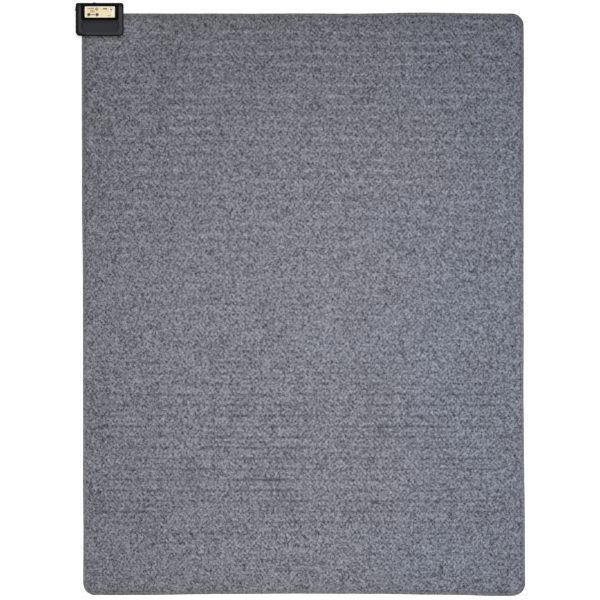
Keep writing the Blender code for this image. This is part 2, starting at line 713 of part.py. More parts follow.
def build_screws(frame):
    for i, place in enumerate(CASE_SCREWS):
        head = (2.8 * MM, 2.3 * MM, 0.4 * MM)
        screw(f"case_screw_{i + 1}", place, head, (1.3 * MM, 20 * MM), frame)
    for i, place in enumerate(CLAMP_SCREWS):
        head = (2.6 * MM, 11.3 * MM, 13 * MM)
        screw(f"clamp_screw_{i + 1}", place, head, (1.2 * MM, 3.2 * MM), frame)
    for i, place in enumerate(BOARD_POSTS):
        head = (2.5 * MM, ON_BOARD, ON_BOARD + 1.5 * MM)
        screw(f"board_screw_{i + 1}", place, head, (1.1 * MM, 4.5 * MM), frame)


def component(name, x_range, y_range, height, look, frame, edge=0.4):
    """A box-shaped component that stands on the board. Sizes are in millimetres."""
    spans = [(low * MM, high * MM) for low, high in (x_range, y_range)]
    obj = box(name, *spans, (ON_BOARD, ON_BOARD + height * MM), look, frame)
    bevel(obj, edge * MM, segments=1)
    return obj


def lying_cylinder(name, centre, radius, length, look, frame, sides=12):
    """A cylinder along X, its origin at its centre."""
    obj = cylinder(name, (0, 0), radius, (0, length), look, frame, sides)
    obj.data.transform(Matrix.Translation((0, 0, -length / 2)))
    obj.rotation_euler = (0, math.radians(90), 0)
    obj.location = centre
    return obj


def build_board(frame):
    """The circuit board and its components."""
    holes = [circle(place, 1.4 * MM, 12) for place in BOARD_POSTS]
    board_outline = rectangle(BOARD_X, BOARD_Y, (1 * MM,) * 4, 45)
    plate("circuit_board", [board_outline] + holes, BOARD, BOARD_TAN, frame)
    component("power_relay", (84, 103), (50, 66), 15, RELAY_BLUE, frame)
    component("transformer_core", (24, 50), (23, 45), 6, CORE_STEEL, frame)
    component("film_capacitor", (54, 72), (23, 31), 12, FILM_CAP_RED, frame)
    component("control_chip", (78, 98), (24, 31), 3.5, CHIP_BLACK, frame)
    component("mains_terminal_block", (17, 32), (68, 80), 9, TERMINAL_GREEN, frame)
    component("heating_resistor", (48, 70), (46, 55), 9, CERAMIC_WHITE, frame)
    blocks_x = tuple(x / MM for x in TERMINAL_BLOCK_X)
    component("heater_terminal_block", blocks_x, (29, 48), 9.5, TERMINAL_GREEN, frame)
    winding_base = ON_BOARD + 6 * MM + GAP
    winding = box(
        "transformer_winding",
        (28 * MM, 46 * MM),
        (25 * MM, 43 * MM),
        (winding_base, winding_base + 10 * MM),
        LABEL_CREAM,
        frame,
    )
    bevel(winding, 1.5 * MM)
    can_levels = (ON_BOARD, ON_BOARD + 13 * MM)
    cylinder("smoothing_capacitor", (90 * MM, 40 * MM), 5 * MM, can_levels, CAN_BROWN, frame)
    resistor_top = ON_BOARD + 9 * MM
    thermal_place = (59 * MM, 50.5 * MM, resistor_top + GAP + 1.9 * MM)
    lying_cylinder("thermal_fuse", thermal_place, 1.9 * MM, 12 * MM, BRASS, frame)
    build_fuse(frame)


def build_fuse(frame):
    """A glass cartridge fuse held by a clip at each end."""
    centre = Vector((64 * MM, 37.5 * MM, ON_BOARD + 5 * MM))
    lying_cylinder("fuse", centre, 2.6 * MM, 20 * MM, GLASS_TUBE, frame)
    for side, offset in (("left", -8 * MM), ("right", 8 * MM)):
        x = centre.x + offset
        clip = box(
            f"fuse_clip_{side}",
            (x - 1.5 * MM, x + 1.5 * MM),
            (centre.y - 3.6 * MM, centre.y + 3.6 * MM),
            (ON_BOARD, ON_BOARD + 7 * MM),
            BRASS,
            frame,
        )
        cut(clip, lying_cylinder(f"clip_bore_{side}", (x, *centre.yz), 2.9 * MM, 9 * MM, None, frame))


def build_controller():
    frame = empty("controller_frame", CASE_FRAME)
    bpy.context.view_layer.update()
    build_lower_case(frame)
    build_upper_case(frame)
    build_label(frame)
    build_button("power", POWER_BUTTON, frame)
    build_button("timer", TIMER_BUTTON, frame)
    build_lamp(frame)
    build_lever(frame)
    build_gland(frame)
    build_clamps(frame)
    build_board(frame)
    build_screws(frame)


build_mat()
build_heater_wire()
build_controller()
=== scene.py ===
"""The looks of an electric heated floor mat with a controller clamped on its corner.

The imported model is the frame. Metres, +Z up: the mat lies on the floor, and the controller is at its
far left corner. Places come from the frame's nodes, and the sizes below are those of the details.
"""

import json
import math

import bmesh
import bpy
import numpy as np
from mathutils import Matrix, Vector, noise
from mathutils.bvhtree import BVHTree


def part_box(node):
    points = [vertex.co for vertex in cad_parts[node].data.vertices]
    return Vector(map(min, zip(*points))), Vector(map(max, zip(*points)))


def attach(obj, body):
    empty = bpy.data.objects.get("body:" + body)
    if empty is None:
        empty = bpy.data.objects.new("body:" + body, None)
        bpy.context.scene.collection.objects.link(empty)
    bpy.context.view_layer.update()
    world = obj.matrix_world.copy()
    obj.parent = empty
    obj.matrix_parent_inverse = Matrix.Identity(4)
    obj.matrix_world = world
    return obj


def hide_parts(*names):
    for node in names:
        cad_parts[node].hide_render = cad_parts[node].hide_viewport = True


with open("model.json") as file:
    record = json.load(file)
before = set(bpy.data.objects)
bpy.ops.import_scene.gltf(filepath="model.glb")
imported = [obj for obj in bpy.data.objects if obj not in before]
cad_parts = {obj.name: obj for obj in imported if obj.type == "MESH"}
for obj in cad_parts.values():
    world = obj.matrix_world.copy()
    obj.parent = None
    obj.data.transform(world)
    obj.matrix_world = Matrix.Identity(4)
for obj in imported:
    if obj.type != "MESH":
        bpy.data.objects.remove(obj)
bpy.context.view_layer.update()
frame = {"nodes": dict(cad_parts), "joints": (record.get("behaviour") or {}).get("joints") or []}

MM = 0.001
MAT = "mat_and_case"
LEAST_RADIUS = 0.02 * MM

# Mat
MAT_CORNER = 36 * MM
LIP = 8 * MM
CASE_MARGIN = 0.5 * MM
FELT_RIM_INSET = 1.6 * MM
FELT_RIM = (6.75 * MM, 7.55 * MM)
STITCH_LENGTH = 5.2 * MM
STITCH_PITCH = 6 * MM
STITCH_LINE = -5 * MM
LEAN = 3.2 * MM
WEAR_REACH = 60 * MM

# Heater runs, which the felt is pressed down along
WIRE_RUNS = 54
WIRE_END_MARGIN = 24.5 * MM
ROWS_PER_RUN = 10
GROOVE_WIDTH = 2.9 * MM
GROOVE_DEPTH = (0.5 * MM, 1.15 * MM)
MIDWAY_SHARE = 0.38
# Painted light along the heater runs: its width, a painted highlight at the far end (LINE_FAR) that turns to
# painted shade at the near end (LINE_NEAR), and painted shade midway between runs (MIDWAY_NEAR).
LINE_WIDTH = 4.3 * MM
LINE_FAR, LINE_NEAR = -0.28, 0.34
MIDWAY_NEAR = 0.12

# Controller case
CASE_NEAR_RADIUS = 13 * MM
CASE_FAR_RADIUS = 7 * MM
CASE_EDGE_ROUND = 3.4 * MM
CASE_WALL = 2.4 * MM
LIP_ROUND = 0.5 * MM
WALL_FADE = 2.5 * MM
PANEL_X = (20 * MM, 128 * MM)
PANEL_Y = (9 * MM, 42 * MM)
PANEL_CORNER = 4 * MM
PANEL_DEPTH = 0.6 * MM
BAY_CORNERS = (6 * MM, 6 * MM, MM, MM)
BAY_GAP = 0.4 * MM
HOLE_RADIUS = 3.8 * MM
NOTCH_STEPS = 4
BEYOND = 5 * MM
FLANGE_EDGE = 0.15 * MM

# Dots of the underside
DOT_PITCH = 25 * MM
DOT_ROW_PITCH = DOT_PITCH * math.sqrt(3) / 2
DOT_RADIUS = 4 * MM
DOT_SIDES = 8

MAT_LOW, MAT_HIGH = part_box("edge_binding")
CASE_LOW, CASE_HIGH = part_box("upper_case")
FELT_LOW, FELT_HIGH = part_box("surface_felt")
RUN_PITCH = (MAT_HIGH.y - MAT_LOW.y - 2 * WIRE_END_MARGIN) / (WIRE_RUNS - 1)
CONTROLS = ("power_button", "timer_button", "lamp_lens")


# ---------------------------------------------------------------- shapes


def add_object(name, data):
    added = bpy.data.objects.new(name, data)
    bpy.context.scene.collection.objects.link(added)
    return added


def shade(piece, angle=35):
    piece.data.shade_smooth()
    piece.data.set_sharp_from_angle(angle=math.radians(angle))


def add_mesh(name, vertices, faces, smooth=35):
    """An object with its faces turned out, shaded smooth except at edges sharper than smooth."""
    mesh = bpy.data.meshes.new(name)
    mesh.from_pydata([tuple(v) for v in vertices], [], faces)
    body = bmesh.new()
    body.from_mesh(mesh)
    bmesh.ops.recalc_face_normals(body, faces=body.faces)
    body.to_mesh(mesh)
    body.free()
    piece = add_object(name, mesh)
    shade(piece, smooth)
    return piece


def tube_faces(ring_count, count, ring_closed=False):
    """The faces that join rings of equally many points. The ends are capped, or joined to each other."""
    faces = []
    for k in range(ring_count if ring_closed else ring_count - 1):
        here = k * count
        there = (k + 1) % ring_count * count
        for i in range(count):
            j = (i + 1) % count
            faces.append((here + i, here + j, there + j, there + i))
    if not ring_closed:
        faces.append(tuple(range(count)))
        faces.append(tuple(range((ring_count - 1) * count, ring_count * count)))
    return faces


def loft(name, rings, ring_closed=False, smooth=35):
    vertices = [point for ring in rings for point in ring]
    return add_mesh(name, vertices, tube_faces(len(rings), len(rings[0]), ring_closed), smooth)


def many(name, bodies, smooth=35):
    """One object of many small closed bodies, each given as its rings of points."""
    vertices, faces = [], []
    for rings in bodies:
        start = len(vertices)
        vertices += [point for ring in rings for point in ring]
        faces += [tuple(start + i for i in face) for face in tube_faces(len(rings), len(rings[0]))]
    return add_mesh(name, vertices, faces, smooth)


def merge(name, pieces):
    """One object of several separate bodies."""
    vertices, faces = [], []
    for piece in pieces:
        start = len(vertices)
        vertices += [v.co.copy() for v in piece.data.vertices]
        faces += [[start + i for i in face.vertices] for face in piece.data.polygons]
        bpy.data.objects.remove(piece, do_unlink=True)
    return add_mesh(name, vertices, faces)


def rounded_rectangle(x_range, y_range, radii, steps=10):
    """A function that gives this outline moved in by an inset, always as the same number of points."""
    (x0, x1), (y0, y1) = x_range, y_range
    corners = [(x0, y0, 1, 1, 180), (x1, y0, -1, 1, 270), (x1, y1, -1, -1, 0), (x0, y1, 1, -1, 90)]

    def outline(inset=0.0):
        points = []
        for (x, y, to_x, to_y, start), corner_radius in zip(corners, radii):
            radius = max(corner_radius - inset, LEAST_RADIUS)
            for k in range(steps + 1):
                turn = math.radians(start + 90 * k / steps)
                u = x + to_x * (inset + radius) + radius * math.cos(turn)
                v = y + to_y * (inset + radius) + radius * math.sin(turn)
                points.append((u, v))
        return points

    return outline


def rectangle(u, v, half_u, half_v, radius, steps=10):
    """A rounded rectangle with its middle at (u, v)."""
    return rounded_rectangle((u - half_u, u + half_u), (v - half_v, v + half_v), (radius,) * 4, steps)


def disc(centre, disc_radius, sides=48):
    """As rounded_rectangle, for a circle."""

    def outline(inset=0.0):
        radius = max(disc_radius - inset, LEAST_RADIUS)
        turns = [2 * math.pi * k / sides for k in range(sides)]
        return [(centre[0] + radius * math.cos(t), centre[1] + radius * math.sin(t)) for t in turns]

    return outline


def quarter(steps):
    return [math.pi / 2 * k / steps for k in range(steps + 1)]


def rim(level, radius, upper=True, steps=5):
    """Stations (inset, level) that round the rim at this level, from the bottom up."""
    sign = 1 if upper else -1
    stations = [
        (radius * (1 - math.cos(t)), level - sign * radius * (1 - math.sin(t))) for t in quarter(steps)
    ]
    return stations if upper else stations[::-1]


def flare(level, radius, steps=4):
    """Stations of a cutter that round the edge where a recess opens at this level."""
    return [(-radius * (1 - math.cos(t)), level - radius * (1 - math.sin(t))) for t in quarter(steps)]


def upright(u, v, level):
    return (u, v, level)


def along_y(u, v, level):
    return (u, level, v)


def along_x(u, v, level):
    return (level, u, v)


def block(name, outline, stations, place=upright):
    rings = [[place(u, v, level) for u, v in outline(inset)] for inset, level in stations]
    return loft(name, rings)


def prism(outline, low, high, place=upright):
    return block("prism", outline, [(0, low), (0, high)], place)


def carve(piece, *others, operation="DIFFERENCE"):
    """Cuts the others out of the piece, or joins them to it, and removes them."""
    for other in others:
        modifier = piece.modifiers.new("carve", "BOOLEAN")
        modifier.operation = operation
        modifier.object = other
    graph = bpy.context.evaluated_depsgraph_get()
    mesh = bpy.data.meshes.new_from_object(piece.evaluated_get(graph))
    piece.modifiers.clear()
    piece.data = mesh
    for other in others:
        bpy.data.objects.remove(other, do_unlink=True)
    shade(piece)
    return piece


def centre_of(node):
    low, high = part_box(node)
    return (low + high) / 2


def case_span(x_range, y_range):
    """Ranges counted from the case's near left corner, as ranges in the frame."""
    return tuple(CASE_LOW.x + x for x in x_range), tuple(CASE_LOW.y + y for y in y_range)


def smoothstep(low, high, value):
    t = np.clip((value - low) / (high - low), 0, 1)
    return t * t * (3 - 2 * t)


def add_attribute(piece, name, values):
    attribute = piece.data.attributes.new(name, "FLOAT", "POINT")
    attribute.data.foreach_set("value", np.asarray(values, np.float32))


# ---------------------------------------------------------------- materials


class Look:
    """A Principled material whose nodes are added with short calls. Patterns use Object coordinates."""

    def __init__(self, name, roughness=0.5, metallic=0.0):
        self.material = bpy.data.materials.new(name)
        self.material.use_nodes = True
        self.tree = self.material.node_tree
        self.shader = self.tree.nodes["Principled BSDF"]
        self.shader.inputs["Roughness"].default_value = roughness
        self.shader.inputs["Metallic"].default_value = metallic
        self.place = self.node("TexCoord").outputs["Object"]

    def node(self, kind, values=(), **settings):
        node = self.tree.nodes.new("ShaderNode" + kind)
        for key, value in settings.items():
            setattr(node, key, value)
        for key, value in dict(values).items():
            self.feed(node.inputs[key], value)
        return node

    def feed(self, socket, value):
        if isinstance(value, bpy.types.NodeSocket):
            self.tree.links.new(value, socket)
        elif socket.type == "RGBA":
            socket.default_value = (*value, 1.0)
        else:
            socket.default_value = value

    def set(self, **values):
        """Feeds the shader's sockets, whose names are written with underscores."""
        for key, value in values.items():
            self.feed(self.shader.inputs[key.replace("_", " ").title().replace("Ior", "IOR")], value)

    def math(self, operation, first, second=0.0):
        return self.node("Math", {0: first, 1: second}, operation=operation).outputs[0]

    def vector(self, operation, first, second=(0, 0, 0)):
        return self.node("VectorMath", {0: first, 1: second}, operation=operation).outputs[0]

    def axis(self, letter, place=None):
        return self.node("SeparateXYZ", {0: place or self.place}).outputs[letter]

    def remap(self, value, low, high, to_low=0.0, to_high=1.0):
        sizes = {"Value": value, "From Min": low, "From Max": high, "To Min": to_low, "To Max": to_high}
        return self.node("MapRange", sizes).outputs["Result"]

    def spread(self, pattern, reach=0.2):
        """A noise, whose values keep near a half, spread out to run from 0 to 1."""
        return self.remap(pattern, 0.5 - reach, 0.5 + reach)

    def stretch(self, scale, turn_deg=0.0, place=None):
        """The place, scaled along its axes after a turn about Z."""
        turn = {"Vector": place or self.place, "Angle": math.radians(turn_deg)}
        turned = self.node("VectorRotate", turn).outputs[0]
        return self.node("Mapping", {"Vector": turned, "Scale": scale}).outputs["Vector"]

    def noise(self, size, detail=2.0, roughness=0.55, place=None):
        """Noise whose features are about this size, in metres."""
        values = {"Vector": place or self.place, "Scale": 1 / size, "Detail": detail, "Roughness": roughness}
        return self.node("TexNoise", values).outputs["Fac"]

    def fibres(self, scale, turn_deg=0.0, detail=2.0):
        """Noise drawn out along fibres."""
        return self.noise(1.0, detail, 0.6, self.stretch(scale, turn_deg))

    def frayed(self, scale, turn_deg, reach):
        """The place, shifted this way and that along fibres, so that a pattern's edges become fibrous."""
        fibres = self.node("TexNoise", {"Vector": self.stretch(scale, turn_deg), "Scale": 1.0})
        centred = self.vector("SUBTRACT", fibres.outputs["Color"], (0.5,) * 3)
        return self.vector("ADD", self.place, self.vector("MULTIPLY", centred, (reach,) * 3))

    def bands(self, direction, period, distortion=0.0):
        """Smooth bands across X, Y or Z, from 0 to 1, with this period in metres."""
        scale = 2 * math.pi / (20 * period)
        values = {"Vector": self.place, "Scale": scale, "Distortion": distortion}
        return self.node("TexWave", values, bands_direction=direction).outputs["Fac"]

    def cells(self, size, feature="F1"):
        values = {"Vector": self.place, "Scale": 1 / size}
        return self.node("TexVoronoi", values, feature=feature).outputs["Distance"]

    def mix(self, share, first, second, blend="MIX"):
        values = {"Factor": share, 6: first, 7: second}
        return self.node("Mix", values, data_type="RGBA", blend_type=blend).outputs[2]

    def weighted(self, parts):
        """The sum of (pattern, weight) pairs."""
        total = 0.0
        for pattern, weight in parts:
            values = {0: pattern, 1: weight, 2: total}
            total = self.node("Math", values, operation="MULTIPLY_ADD").outputs[0]
        return total

    def lattice(self):
        """The diamonds that the needles leave, from 0 to 1, a little out of true."""
        across = self.math("SUBTRACT", self.bands("X", 13.6 * MM, 1.5), 0.5)
        along = self.math("SUBTRACT", self.bands("Y", 16.1 * MM, 1.5), 0.5)
        return self.remap(self.math("MULTIPLY", across, along), -0.25, 0.25)

    def attribute(self, name):
        return self.node("Attribute", attribute_name=name).outputs["Fac"]

    def inset(self, x_range, y_range, radius):
        """How far a place lies inside this rounded rectangle, seen from above."""
        centre = (sum(x_range) / 2, sum(y_range) / 2, 0)
        half = (x_range[1] - centre[0] - radius, y_range[1] - centre[1] - radius, 1)
        from_centre = self.vector("ABSOLUTE", self.vector("SUBTRACT", self.place, centre))
        away = self.vector("SUBTRACT", from_centre, half)
        past = {0: self.vector("MAXIMUM", away)}
        outside = self.node("VectorMath", past, operation="LENGTH").outputs["Value"]
        inner = self.math("MINIMUM", self.math("MAXIMUM", self.axis("X", away), self.axis("Y", away)), 0.0)
        return self.math("SUBTRACT", radius, self.math("ADD", outside, inner))

    def bump(self, height, distance, strength=1.0):
        values = {"Height": height, "Distance": distance, "Strength": strength}
        self.feed(self.shader.inputs["Normal"], self.node("Bump", values).outputs["Normal"])


def heather_look():
    """Needle felt of dark and light grey fibres: clumps, tufts, fine strands and a punched lattice."""
    look = Look("heather_felt", roughness=0.95)
    sizes = ((80 * MM, 20), (10.5 * MM, 31), (5.8 * MM, 57), (3.1 * MM, 12))
    frayed = look.frayed((1500, 330, 900), 33, 9 * MM)
    places = [look.stretch((1 / size,) * 3, turn, frayed) for size, turn in sizes]
    patches, clumps, tufts, flecks = [look.spread(look.noise(1.0, 1.5, 0.6, p), 0.17) for p in places]
    strands = look.math("ADD", look.fibres((2600, 520, 900), 28), look.fibres((480, 2400, 900), 17))
    strands = look.remap(strands, 0.75, 1.25)
    grain = [(patches, 0.03), (clumps, 0.28), (tufts, 0.68), (flecks, 0.72), (strands, 0.36)]
    tone = look.weighted(grain + [(look.lattice(), 0.21)])
    grey = look.mix(look.remap(tone, 0.585, 1.825), (0.004, 0.004, 0.005), (0.410, 0.424, 0.486))
    drift = look.remap(look.math("ADD", look.axis("X"), look.noise(0.30, 1.0)), 0.35, 1.05)
    tint = look.mix(drift, (1.01, 0.98, 0.975), (0.965, 1.0, 1.06))
    # Painted light and shade along the heater runs, and darker bands along the tape and at both ends, from
    # the mesh's attribute.
    shading_and_tone = look.remap(look.attribute("shading_and_tone"), 0.0, 1.0, 1.5, 0.5)
    look.set(base_color=look.mix(1.0, look.mix(1.0, grey, tint, "MULTIPLY"), shading_and_tone, "MULTIPLY"))
    look.set(sheen_weight=0.15, sheen_roughness=0.6, specular_ior_level=0.15)
    look.bump(look.weighted([(strands, 0.5), (flecks, 0.8), (tufts, 1.0)]), 0.5 * MM, 0.6)
    return look.material


def tape_look():
    """Woven edge tape: fine ribs both ways, uneven yarn, and some wear at the near end."""
    look = Look("edge_tape", roughness=0.9)
    weave = look.weighted([(look.bands(axis, 1.3 * MM, 0.3), 1 / 3) for axis in "XYZ"])
    yarn = look.spread(look.fibres((1 / (4.5 * MM),) * 3, 40), 0.17)
    slubs = look.spread(look.noise(9 * MM, 2.0), 0.17)
    tone = look.weighted([(weave, 0.35), (yarn, 0.52), (slubs, 0.28)])
    colour = look.mix(look.remap(tone, 0.22, 0.93), (0.041, 0.042, 0.043), (0.316, 0.319, 0.330))
    worn = look.remap(look.axis("Y"), MAT_LOW.y, MAT_LOW.y + WEAR_REACH, 0.85, 1.0)
    look.set(base_color=look.mix(1.0, colour, worn, "MULTIPLY"))
    look.set(sheen_weight=0.1, specular_ior_level=0.15)
    look.bump(weave, 0.25 * MM, 0.7)
    return look.material


def pattern_look(name, pattern, dark, light, bump, span=(0.0, 1.0), roughness=0.5, metallic=0.0):
    """A colour that follows a pattern, which raises the surface too. pattern makes it from the Look."""
    look = Look(name, roughness, metallic)
    height = pattern(look)
    look.set(base_color=look.mix(look.remap(height, *span), dark, light))
    look.bump(height, *bump)
    return look.material


def fibre_look(name, dark, light, size):
    """Matted fibres, for the pad and the cloth of the underside."""

    def mat(look):
        strands = look.fibres((900, 180, 400), 35, 3.0)
        return look.weighted([(strands, 0.5), (look.noise(size, 3.0, 0.6), 0.5)])

    return pattern_look(name, mat, dark, light, (0.5 * MM, 0.7), (0.38, 0.62), 0.95)


def plastic_look(name, colour, roughness, grain=0.45 * MM, depth=0.03 * MM, specular=0.4, mottle=0.12):
    """Moulded plastic: an even colour with slight mottling, and a spark-eroded grain."""
    look = Look(name)
    darker = tuple(c * (1 - mottle) for c in colour)
    lighter = tuple(min(1.0, c * (1 + mottle)) for c in colour)
    look.set(base_color=look.mix(look.spread(look.noise(9 * MM, 3.0)), darker, lighter))
    grains = look.noise(grain, 2.0, 0.6)
    look.set(roughness=look.remap(grains, 0.3, 0.7, roughness - 0.06, roughness + 0.06))
    look.set(specular_ior_level=specular)
    look.bump(grains, depth, 0.5)
    return look.material


def ink_look(name, colour, roughness=0.5, specular=0.2, mottle=0.05):
    return plastic_look(name, colour, roughness, 0.6 * MM, 0.01 * MM, specular, mottle)


WALL_COLOUR = (0.0125, 0.0125, 0.0140)
# Colour of the painted shade round the case's rim and along the panel's far border.
PAINTED_SHADE_COLOUR = (0.0035, 0.0035, 0.0040)


def case_look():
    """The case's plastic, which is paler on top than on its walls, and bluer in the panel.

    Painted shade darkens a band round the rim, narrower away from the left end except along the far
    edge, and round the panel's border over its far half.
    """
    look = Look("case_plastic")
    mottling = look.spread(look.noise(9 * MM, 3.0))
    flank = look.mix(mottling, (0.045, 0.045, 0.050), (0.053, 0.053, 0.059))
    panel = look.mix(mottling, (0.0245, 0.0270, 0.0345), (0.0290, 0.0320, 0.0400))
    top = look.mix(look.attribute("panel"), flank, panel)
    # Painted shade in a band round the panel's border, strongest over its far half.
    panel_inset = look.inset(*case_span(PANEL_X, PANEL_Y), PANEL_CORNER)
    from_border = look.math("ABSOLUTE", look.math("ADD", panel_inset, 1.5 * MM))
    panel_border_shade = look.remap(from_border, 1.5 * MM, 5.5 * MM, 1, 0)
    far_half = look.remap(look.axis("Y"), CASE_LOW.y + 14 * MM, CASE_LOW.y + 26 * MM, 0, 0.6)
    top = look.mix(look.math("MULTIPLY", panel_border_shade, far_half), top, PAINTED_SHADE_COLOUR)
    # Painted shade round the rim: a band that is narrower away from the left end, except along the far edge.
    shade_narrowing = look.remap(look.axis("X"), CASE_LOW.x + 14 * MM, CASE_LOW.x + 34 * MM, 0, 5.5 * MM)
    off_far_edge = look.remap(look.axis("Y"), CASE_HIGH.y - 20 * MM, CASE_HIGH.y - 8 * MM, 1, 0)
    case_inset = look.inset((CASE_LOW.x, CASE_HIGH.x), (CASE_LOW.y, CASE_HIGH.y), CASE_NEAR_RADIUS)
    inset = look.math("ADD", case_inset, look.math("MULTIPLY", shade_narrowing, off_far_edge))
    top = look.mix(look.remap(inset, 6.8 * MM, 11.0 * MM, 1, 0), top, PAINTED_SHADE_COLOUR)
    look.set(base_color=look.mix(look.attribute("wall"), top, WALL_COLOUR))
    grains = look.noise(0.45 * MM, 2.0, 0.6)
    look.set(roughness=look.remap(grains, 0.3, 0.7, 0.46, 0.62), specular_ior_level=0.08)
    look.bump(grains, 0.03 * MM, 0.5)
    return look.material


def cream_look():
    """The label's printed ground, which fades from peach at the far edge to cream at the near one."""
    look = Look("cream_ink")
    low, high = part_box("control_label")
    share = look.remap(look.axis("Y"), low.y, high.y)
    cloud = look.spread(look.noise(11 * MM, 1.0), 0.15)
    near = look.mix(cloud, (0.91, 0.79, 0.47), (0.94, 0.85, 0.57))
    far = look.mix(cloud, (0.91, 0.69, 0.37), (0.93, 0.75, 0.43))
    look.set(base_color=look.mix(share, near, far), specular_ior_level=0.2)
    look.bump(look.noise(0.6 * MM), 0.01 * MM, 0.3)
    return look.material


def metal_look(name, colour, roughness):
    """Plain metal with fine drawn or turned lines."""
    look = Look(name, metallic=1.0)
    lines = look.fibres((40, 40, 2500))
    look.set(base_color=look.mix(look.spread(lines), tuple(c * 0.82 for c in colour), colour))
    look.set(roughness=look.remap(lines, 0.3, 0.7, roughness - 0.08, roughness + 0.12))
    look.bump(lines, 0.02 * MM, 0.4)
    return look.material


def board_look():
    """A phenolic circuit board with copper tracks under tan lacquer."""
    look = Look("circuit_board", roughness=0.45)
    tracks = look.math("GREATER_THAN", look.bands("X", 5.2 * MM, 1.5), 0.72)
    bars = look.math("GREATER_THAN", look.bands("Y", 7.4 * MM, 1.2), 0.80)
    copper = look.math("MAXIMUM", tracks, bars)
    base = look.mix(look.spread(look.noise(2 * MM)), (0.36, 0.22, 0.09), (0.46, 0.30, 0.13))
    look.set(base_color=look.mix(copper, base, (0.30, 0.20, 0.05)))
    look.bump(copper, 0.05 * MM, 0.5)
    return look.material


def layered_look(name, dark, light, period, metallic=0.0):
    """Thin layers stacked along Z, as in a transformer's core or its taped winding."""

    def layers(look):
        return look.bands("Z", period)

    return pattern_look(name, layers, dark, light, (0.1 * MM, 0.6), metallic=metallic)


def lens_look():
    """Tinted clear plastic over a reflector, which shows as a pattern of small prisms."""
    look = Look("lamp_lens", roughness=0.12)
    prisms = look.remap(look.cells(0.7 * MM), 0.0, 0.6)
    look.set(base_color=look.mix(prisms, (0.42, 0.36, 0.12), (0.20, 0.17, 0.045)))
    look.set(coat_weight=0.6, coat_roughness=0.05)
    return look.material


def glass_look():
    look = Look("fuse_glass", roughness=0.05)
    look.set(base_color=look.mix(look.noise(2 * MM), (0.86, 0.90, 0.89), (0.95, 0.97, 0.96)))
    look.set(transmission_weight=0.85, ior=1.5)
    return look.material


def crinkles(look):
    return look.cells(22 * MM, "DISTANCE_TO_EDGE")


def haze(look):
    return look.noise(14 * MM, 4.0)


def twist(look):
    return look.bands("DIAGONAL", 0.45 * MM)


LABEL = plastic_look("label_film", (0.93, 0.89, 0.71), 0.5, 0.8 * MM, 0.01 * MM, 0.2, 0.03)
BUTTON = plastic_look("button_plastic", (0.030, 0.022, 0.013), 0.42, specular=0.25)
FOIL_COLOURS = ((0.66, 0.66, 0.68), (0.86, 0.86, 0.87))
FOIL = pattern_look("crinkled_foil", crinkles, *FOIL_COLOURS, (0.3 * MM, 0.8), (0.0, 0.2), 0.3, 1.0)
FILM_COLOURS = ((0.68, 0.70, 0.70), (0.80, 0.82, 0.83))
FILM = pattern_look("bonding_film", haze, *FILM_COLOURS, (0.1 * MM, 0.5), (0.3, 0.7), 0.35)
THREAD_COLOURS = ((0.075, 0.077, 0.083), (0.16, 0.163, 0.175))
THREAD = pattern_look("stitching_thread", twist, *THREAD_COLOURS, (0.05 * MM, 0.6), roughness=0.7)
CORE_COLOURS = ((0.10, 0.10, 0.11), (0.26, 0.26, 0.27))
WINDING_COLOURS = ((0.70, 0.58, 0.30), (0.90, 0.80, 0.52))
BRASS_PARTS = ["thermal_fuse", "fuse_clip_left", "fuse_clip_right"]
PLUNGERS = ["power_switch_plunger", "timer_switch_plunger"]
TERMINALS = ["mains_terminal_block", "heater_terminal_block"]
BLACK_PARTS = ["near_clamp_bar", "side_clamp_bar", "control_chip", "power_switch", "timer_switch"]
STEEL_PARTS = [n for n in frame["nodes"] if "_screw_" in n] + ["slide_control", "slide_wiper"]

CARRIED_OVER = [
    (plastic_look("lower_case_plastic", WALL_COLOUR, 0.54, specular=0.08), ["lower_case"]),
    (plastic_look("wire_insulation", (0.70, 0.68, 0.62), 0.5), ["heater_wire"]),
    (metal_look("zinc_steel", (0.62, 0.62, 0.64), 0.36), STEEL_PARTS),
    (metal_look("clip_brass", (0.72, 0.54, 0.26), 0.34), BRASS_PARTS),
    (FOIL, ["heat_spreading_foil"]),
    (FILM, ["bonding_film"]),
    (board_look(), ["circuit_board"]),
    (glass_look(), ["fuse"]),
    (lens_look(), ["indicator_led"]),
    (layered_look("core_laminations", *CORE_COLOURS, 0.5 * MM, 1.0), ["transformer_core"]),
    (layered_look("winding_tape", *WINDING_COLOURS, 2.4 * MM), ["transformer_winding"]),
    (plastic_look("black_moulding", (0.018, 0.018, 0.020), 0.45), BLACK_PARTS),
    (plastic_look("white_moulding", (0.78, 0.77, 0.72), 0.45), PLUNGERS),
    (plastic_look("relay_blue", (0.03, 0.11, 0.32), 0.35), ["power_relay"]),
    (plastic_look("can_sleeve", (0.08, 0.035, 0.02), 0.3), ["smoothing_capacitor"]),
    (plastic_look("red_coating", (0.42, 0.07, 0.03), 0.25), ["film_capacitor"]),
    (plastic_look("terminal_green", (0.04, 0.22, 0.09), 0.45), TERMINALS),
    (plastic_look("ceramic_body", (0.78, 0.77, 0.72), 0.75, 0.7 * MM, 0.06 * MM), ["heating_resistor"]),
]


def finish_piece(piece, look, body=MAT, replaces=()):
    piece.data.materials.clear()
    piece.data.materials.append(look)
    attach(piece, body)
    if replaces:
        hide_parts(*replaces)
    return piece


# ---------------------------------------------------------------- mat


def grid_lines(low, high, cell, edge_cell, edge_width):
    """Grid lines from low to high, closer together along both edges."""
    count = round(edge_width / edge_cell)
    middle = max(2, round((high - low - 2 * edge_width) / cell))
    left = np.linspace(low, low + edge_width, count, endpoint=False)
    centre = np.linspace(low + edge_width, high - edge_width, middle, endpoint=False)
    right = np.linspace(high - edge_width, high, count + 1)
    return np.concatenate([left, centre, right])


